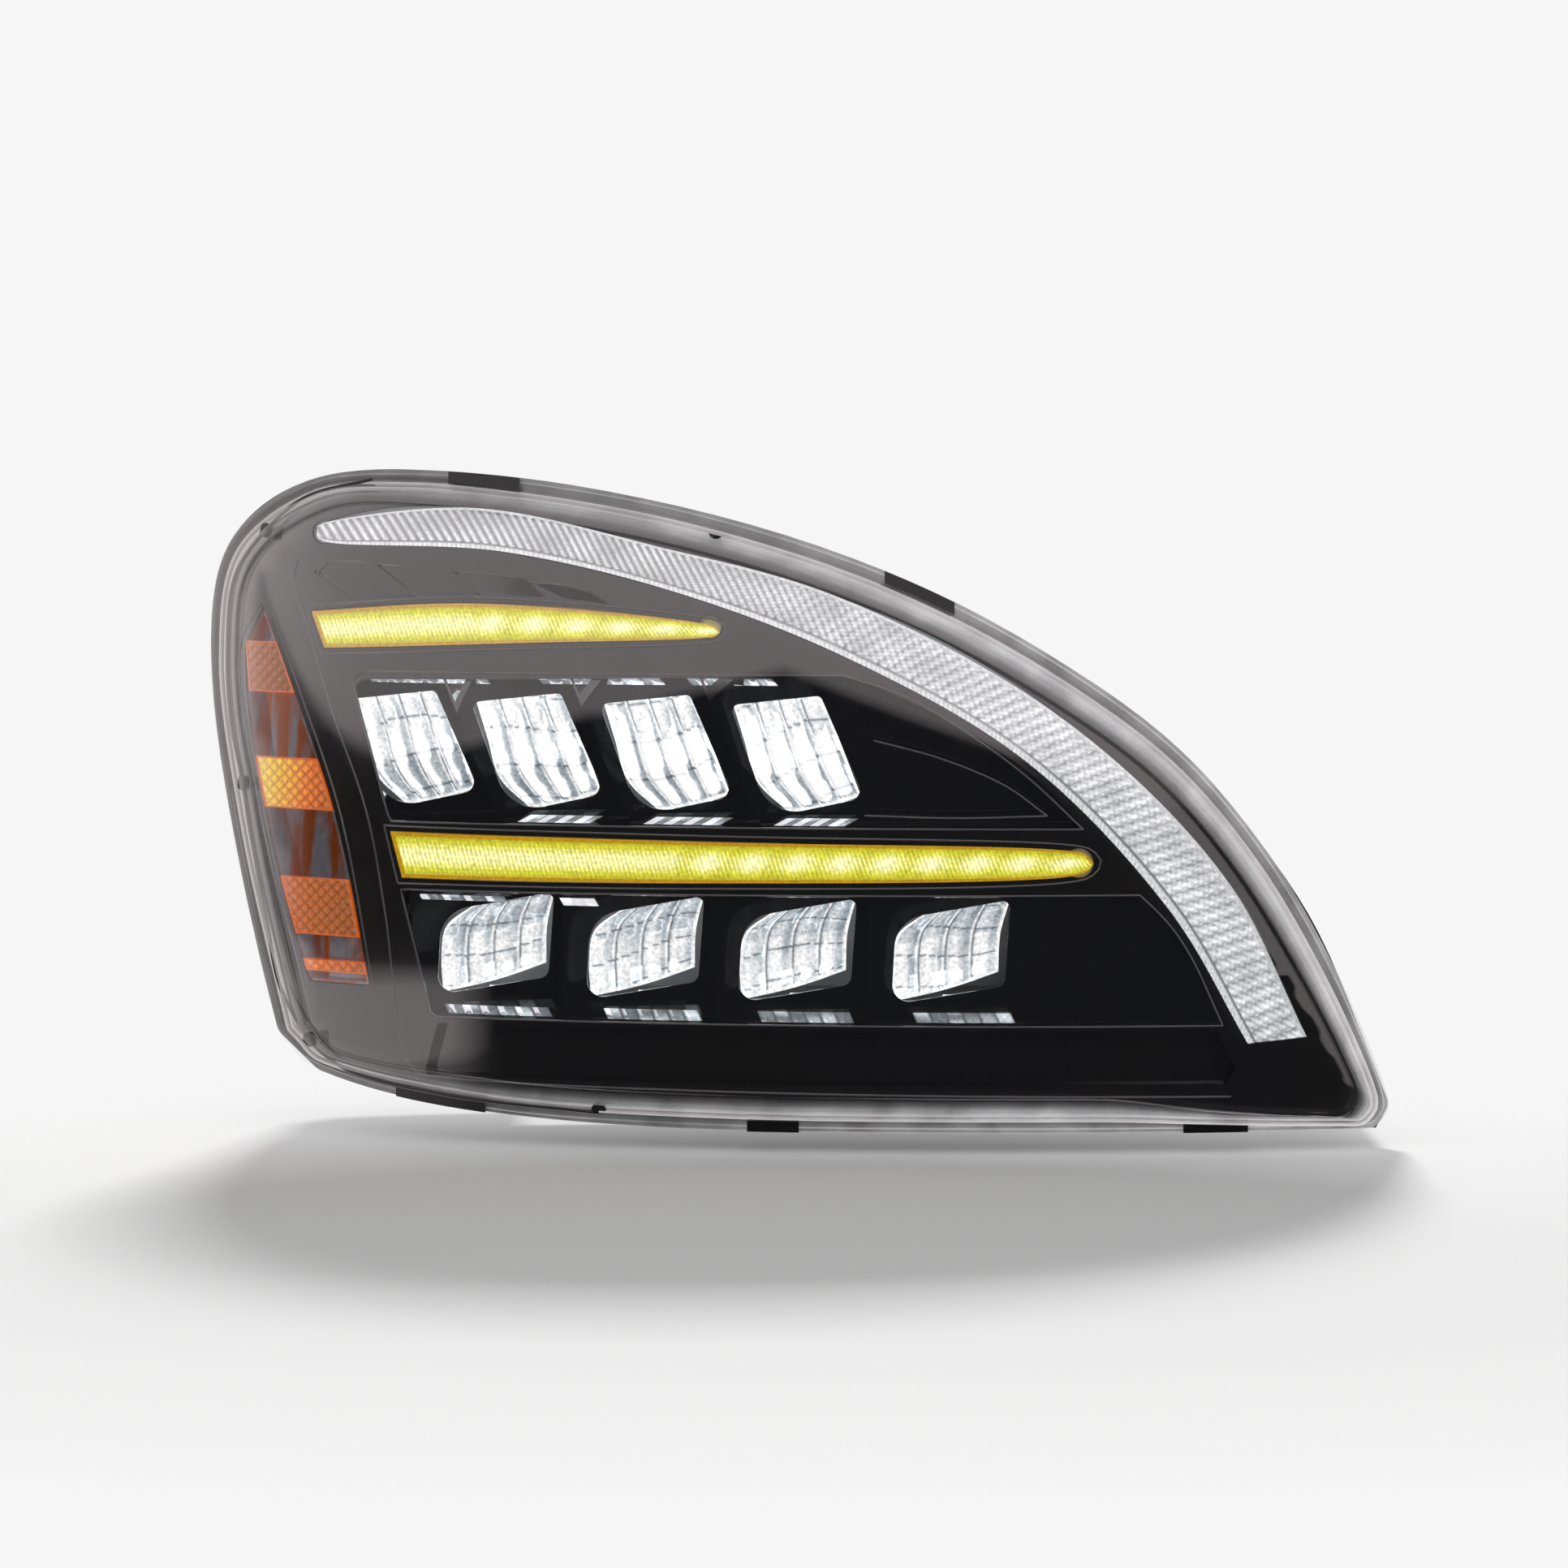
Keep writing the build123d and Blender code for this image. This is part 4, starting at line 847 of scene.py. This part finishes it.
def marker_block(number, low, high, lit):
    """Amber block of the side marker: diamond prisms in a bright edge, the lit one yellow to orange."""
    outboard, inboard = smooth(MARKER_OUTBOARD), smooth(MARKER_INBOARD)
    u, v = np.meshgrid(np.linspace(0, 1, 61), np.linspace(0, 1, 1 + int((high - low) * 1.5)))
    z = high - (high - low) * v
    left, right = (np.interp(z, side[:, 1], side[:, 0]) for side in (outboard, inboard))
    x = left * (1 - u) + right * u
    diamonds = np.minimum(triangle((x + z) / DIAMOND_PITCH), triangle((x - z) / DIAMOND_PITCH))
    edge = (u < 0.04) | (u > 0.96) | (v * (high - low) < 1.2) | ((1 - v) * (high - low) < 1.2)
    near = MARKER_FRONT - 1.5 * np.where(edge, 1, 0.8 * diamonds)
    heat = np.clip(lit * (1.1 - 0.8 * u - 0.25 * v) + 0.18 * lit * diamonds, 0, 1).ravel()
    channels = zip(DULL_AMBER, ORANGE, AMBER)
    glow = np.column_stack([np.interp(heat, [0, 0.45, 0.95], stops) for stops in channels])
    glow *= (0.55 + 0.6 * diamonds.ravel())[:, None]
    glow[edge.ravel()] = MARKER_EDGE
    ribbon_slab(
        f"side_marker_block_{number}", x, z, near, MARKER_BACK, material=LIT_MARKER,
        slot="amber_lens", replaced=["side_marker_lens"], colours=glow,
    )  # fmt: skip


def sill(name, spread, height, slant, depth, cells):
    """Row of small facets with painted reflections of the LEDs beside a bowl's edge."""
    columns = cells * 6 + 1
    u, v = np.meshgrid(np.linspace(0, 1, columns), np.linspace(0, 1, 5))
    x = spread[0] + (spread[1] - spread[0]) * u + slant * v
    z = height[1] + (height[0] - height[1]) * v
    cell = np.floor(u * cells * 0.999)
    # Painted reflections: each facet glows with its own brightness, dark at the joints between facets.
    tone = 0.5 + 0.5 * np.sin(cell * 2.4 + len(name) + spread[0])
    bright = np.where((u * cells) % 1 < 0.1, 0.1, 0.18 + 0.8 * tone * (0.5 + 0.5 * np.cos(3 * v + cell)))
    glow = np.column_stack([(bright * share).ravel() for share in (0.86, 0.94, 1.0)])
    near = depth - 1.2 * triangle(u * cells)
    ribbon_slab(
        f"facets_{name}", x, z, near, depth + SILL_THICKNESS, material=LIT_SILVER,
        slot="chrome", colours=glow,
    )  # fmt: skip


def louvres():
    """Slanted blades between the grooves above the upper strip."""
    u, v = np.meshgrid(np.linspace(0.05, 0.93, 14), np.linspace(0, 1, 8))
    near = 15.8 - 2.4 * u + 0.8 * v
    for number, (start, end) in enumerate(zip(LOUVRES, LOUVRES[1:])):
        tops, lows = zip(start, end)
        x, z = (
            (tops[0][axis] * (1 - u) + tops[1][axis] * u) * (1 - v)
            + (lows[0][axis] * (1 - u) + lows[1][axis] * u) * v
            for axis in (0, 1)
        )
        ribbon_slab(
            f"louvre_{number + 1}", x, z, near, LOUVRE_BACK, material=FINISHES["bezel_black"],
            slot="bezel_black",
        )  # fmt: skip


# ---------------------------------------------------------------- studio

BACKDROP = (0.922, 0.922, 0.922)
ROOM_GREY = (0.34, 0.34, 0.34)
ROOM_DARK = (0.03, 0.032, 0.036)
PANEL_WHITE = (0.98, 0.90, 0.91)
# Panels as parts of the directions a reflection may take. A pair is where the edge fades.
PANEL_CENTRE = 0.28
PANEL_ARCH = 0.36
PANEL_EDGE = (0.395, 0.415)
LOW_PANEL_TOP = (-0.10, -0.07)
LOW_PANEL_SIDE = (-0.80, -0.70)
REAR_EDGE = (0.05, 0.5)
FLOOR_GAP = 0.012
SHOWN_WIDTH = 1.0626
CAMERA_RISE = 3
CAMERA_TARGET = (0, -0.28, 0.0105)
LIGHT_TARGET = (0, -0.28, 0.0)

def area_light(name, place, target, size, power):
    """Rectangular softbox that lights the lamp but is not mirrored in it."""
    data = bpy.data.lights.new(name, "AREA")
    data.shape = "RECTANGLE"
    data.size, data.size_y = size
    data.energy = power
    lamp = bpy.data.objects.new(name, data)
    bpy.context.scene.collection.objects.link(lamp)
    lamp.location = place
    lamp.visible_glossy = False
    lamp.rotation_mode = "QUATERNION"
    lamp.rotation_quaternion = (Vector(target) - Vector(place)).to_track_quat("-Z", "Y")


def panels(tree, way):
    """Where a reflection meets something bright: overhead, low on the left, or behind the lamp."""
    side = math_node(tree, "ABSOLUTE", math_node(tree, "ADD", way.outputs["X"], PANEL_CENTRE))
    height = math_node(tree, "MULTIPLY_ADD", side, PANEL_ARCH, way.outputs["Z"])
    above = ranged(tree, height, 0.0, 1.0, *PANEL_EDGE)
    low = ranged(tree, way.outputs["Z"], 1.0, 0.0, *LOW_PANEL_TOP)
    left = ranged(tree, way.outputs["X"], 1.0, 0.0, *LOW_PANEL_SIDE)
    behind = ranged(tree, way.outputs["Y"], 0.0, 1.0, *REAR_EDGE)
    ahead = math_node(tree, "MAXIMUM", above, math_node(tree, "MULTIPLY", low, left))
    return math_node(tree, "MAXIMUM", ahead, behind)


def world_light():
    """Near-white backdrop; a grey room, and for reflections a dark room under a wide overhead panel."""
    world = bpy.data.worlds.new("studio")
    bpy.context.scene.world = world
    world.use_nodes = True
    tree = world.node_tree
    tree.nodes.clear()
    way = node(tree, "SeparateXYZ", {0: node(tree, "TexCoord").outputs["Generated"]})
    reflected = mixed_colour(tree, panels(tree, way), rgba(ROOM_DARK), rgba(PANEL_WHITE))
    path = node(tree, "LightPath")
    room = mixed_colour(tree, path.outputs["Is Glossy Ray"], rgba(ROOM_GREY), reflected)
    seen = mixed_colour(tree, path.outputs["Is Camera Ray"], room, rgba(BACKDROP))
    background = node(tree, "Background", {"Color": seen}).outputs[0]
    tree.links.new(background, node(tree, "OutputWorld").inputs["Surface"])


def floor():
    """Pale floor that fades out with distance, so that no horizon shows."""
    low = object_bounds()[0].z
    material, tree, place = new_material("floor_pale")
    oval = node(tree, "Mapping", {"Vector": place, "Scale": (0.8, 1.0, 1.0)}).outputs[0]
    reach = node(tree, "VectorMath", {0: oval}, operation="LENGTH").outputs["Value"]
    fade = ranged(tree, reach, 0.0, 1.0, 0.35, 0.95)
    pale = node(tree, "BsdfDiffuse", {"Color": rgba((0.86, 0.855, 0.855))}).outputs[0]
    clear = node(tree, "BsdfTransparent").outputs[0]
    show(tree, node(tree, "MixShader", {0: fade, 1: pale, 2: clear}).outputs[0])
    bpy.ops.mesh.primitive_plane_add(size=4, location=(0, -0.75, low - FLOOR_GAP))
    plane = bpy.context.object
    plane.name = "studio_floor"
    plane.data.materials.append(material)
    plane.visible_glossy = False
    plane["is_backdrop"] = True


def camera():
    """Long lens square on to the lamp, a little above it."""
    data = bpy.data.cameras.new("camera")
    data.lens = 135
    data.sensor_width = 36
    distance = SHOWN_WIDTH * data.lens / data.sensor_width
    rise = math.radians(CAMERA_RISE)
    target = Vector(CAMERA_TARGET)
    made = bpy.data.objects.new("camera", data)
    bpy.context.scene.collection.objects.link(made)
    made.location = target + Vector((0, -math.cos(rise), math.sin(rise))) * distance
    made.rotation_mode = "QUATERNION"
    made.rotation_quaternion = (target - made.location).to_track_quat("-Z", "Y")
    bpy.context.scene.camera = made


def studio():
    """Light, floor and camera."""
    world_light()
    area_light("softbox_above", (0, -1.95, 1.65), LIGHT_TARGET, (3.0, 1.6), 12)
    area_light("back_light", (-0.45, 6.0, 3.5), (0, -0.6, -0.2), (1.3, 0.9), 640)
    floor()
    camera()
    bpy.context.scene.view_settings.view_transform = "Standard"
    bpy.context.scene.view_settings.look = "None"


dress_frame()
lens_shell()
beads("lens_ridge", [smooth(RIDGE)], 9, 1.3, FINISHES["clip_black"], "clip_black")
lines = [np.array(path, float) for path in BEADS] + [smooth(path) for path in CURVED_BEADS]
beads("bezel_beads", lines, 16, 0.8, BEAD_GLOSS, "bezel_black")
louvres()
for number, facts in enumerate(MARKER_BLOCKS):
    marker_block(number + 1, *facts)
for facts in SILLS:
    sill(*facts)
drl_lens()
turn_strip("upper_turn_strip", UPPER_TOP, UPPER_BOTTOM, "upper_turn_lens")
turn_strip("middle_turn_strip", MIDDLE_TOP, MIDDLE_BOTTOM, "middle_turn_lens")
for row_name in ROWS:
    for index in range(REFLECTORS_IN_ROW):
        reflector(row_name, index)
studio()
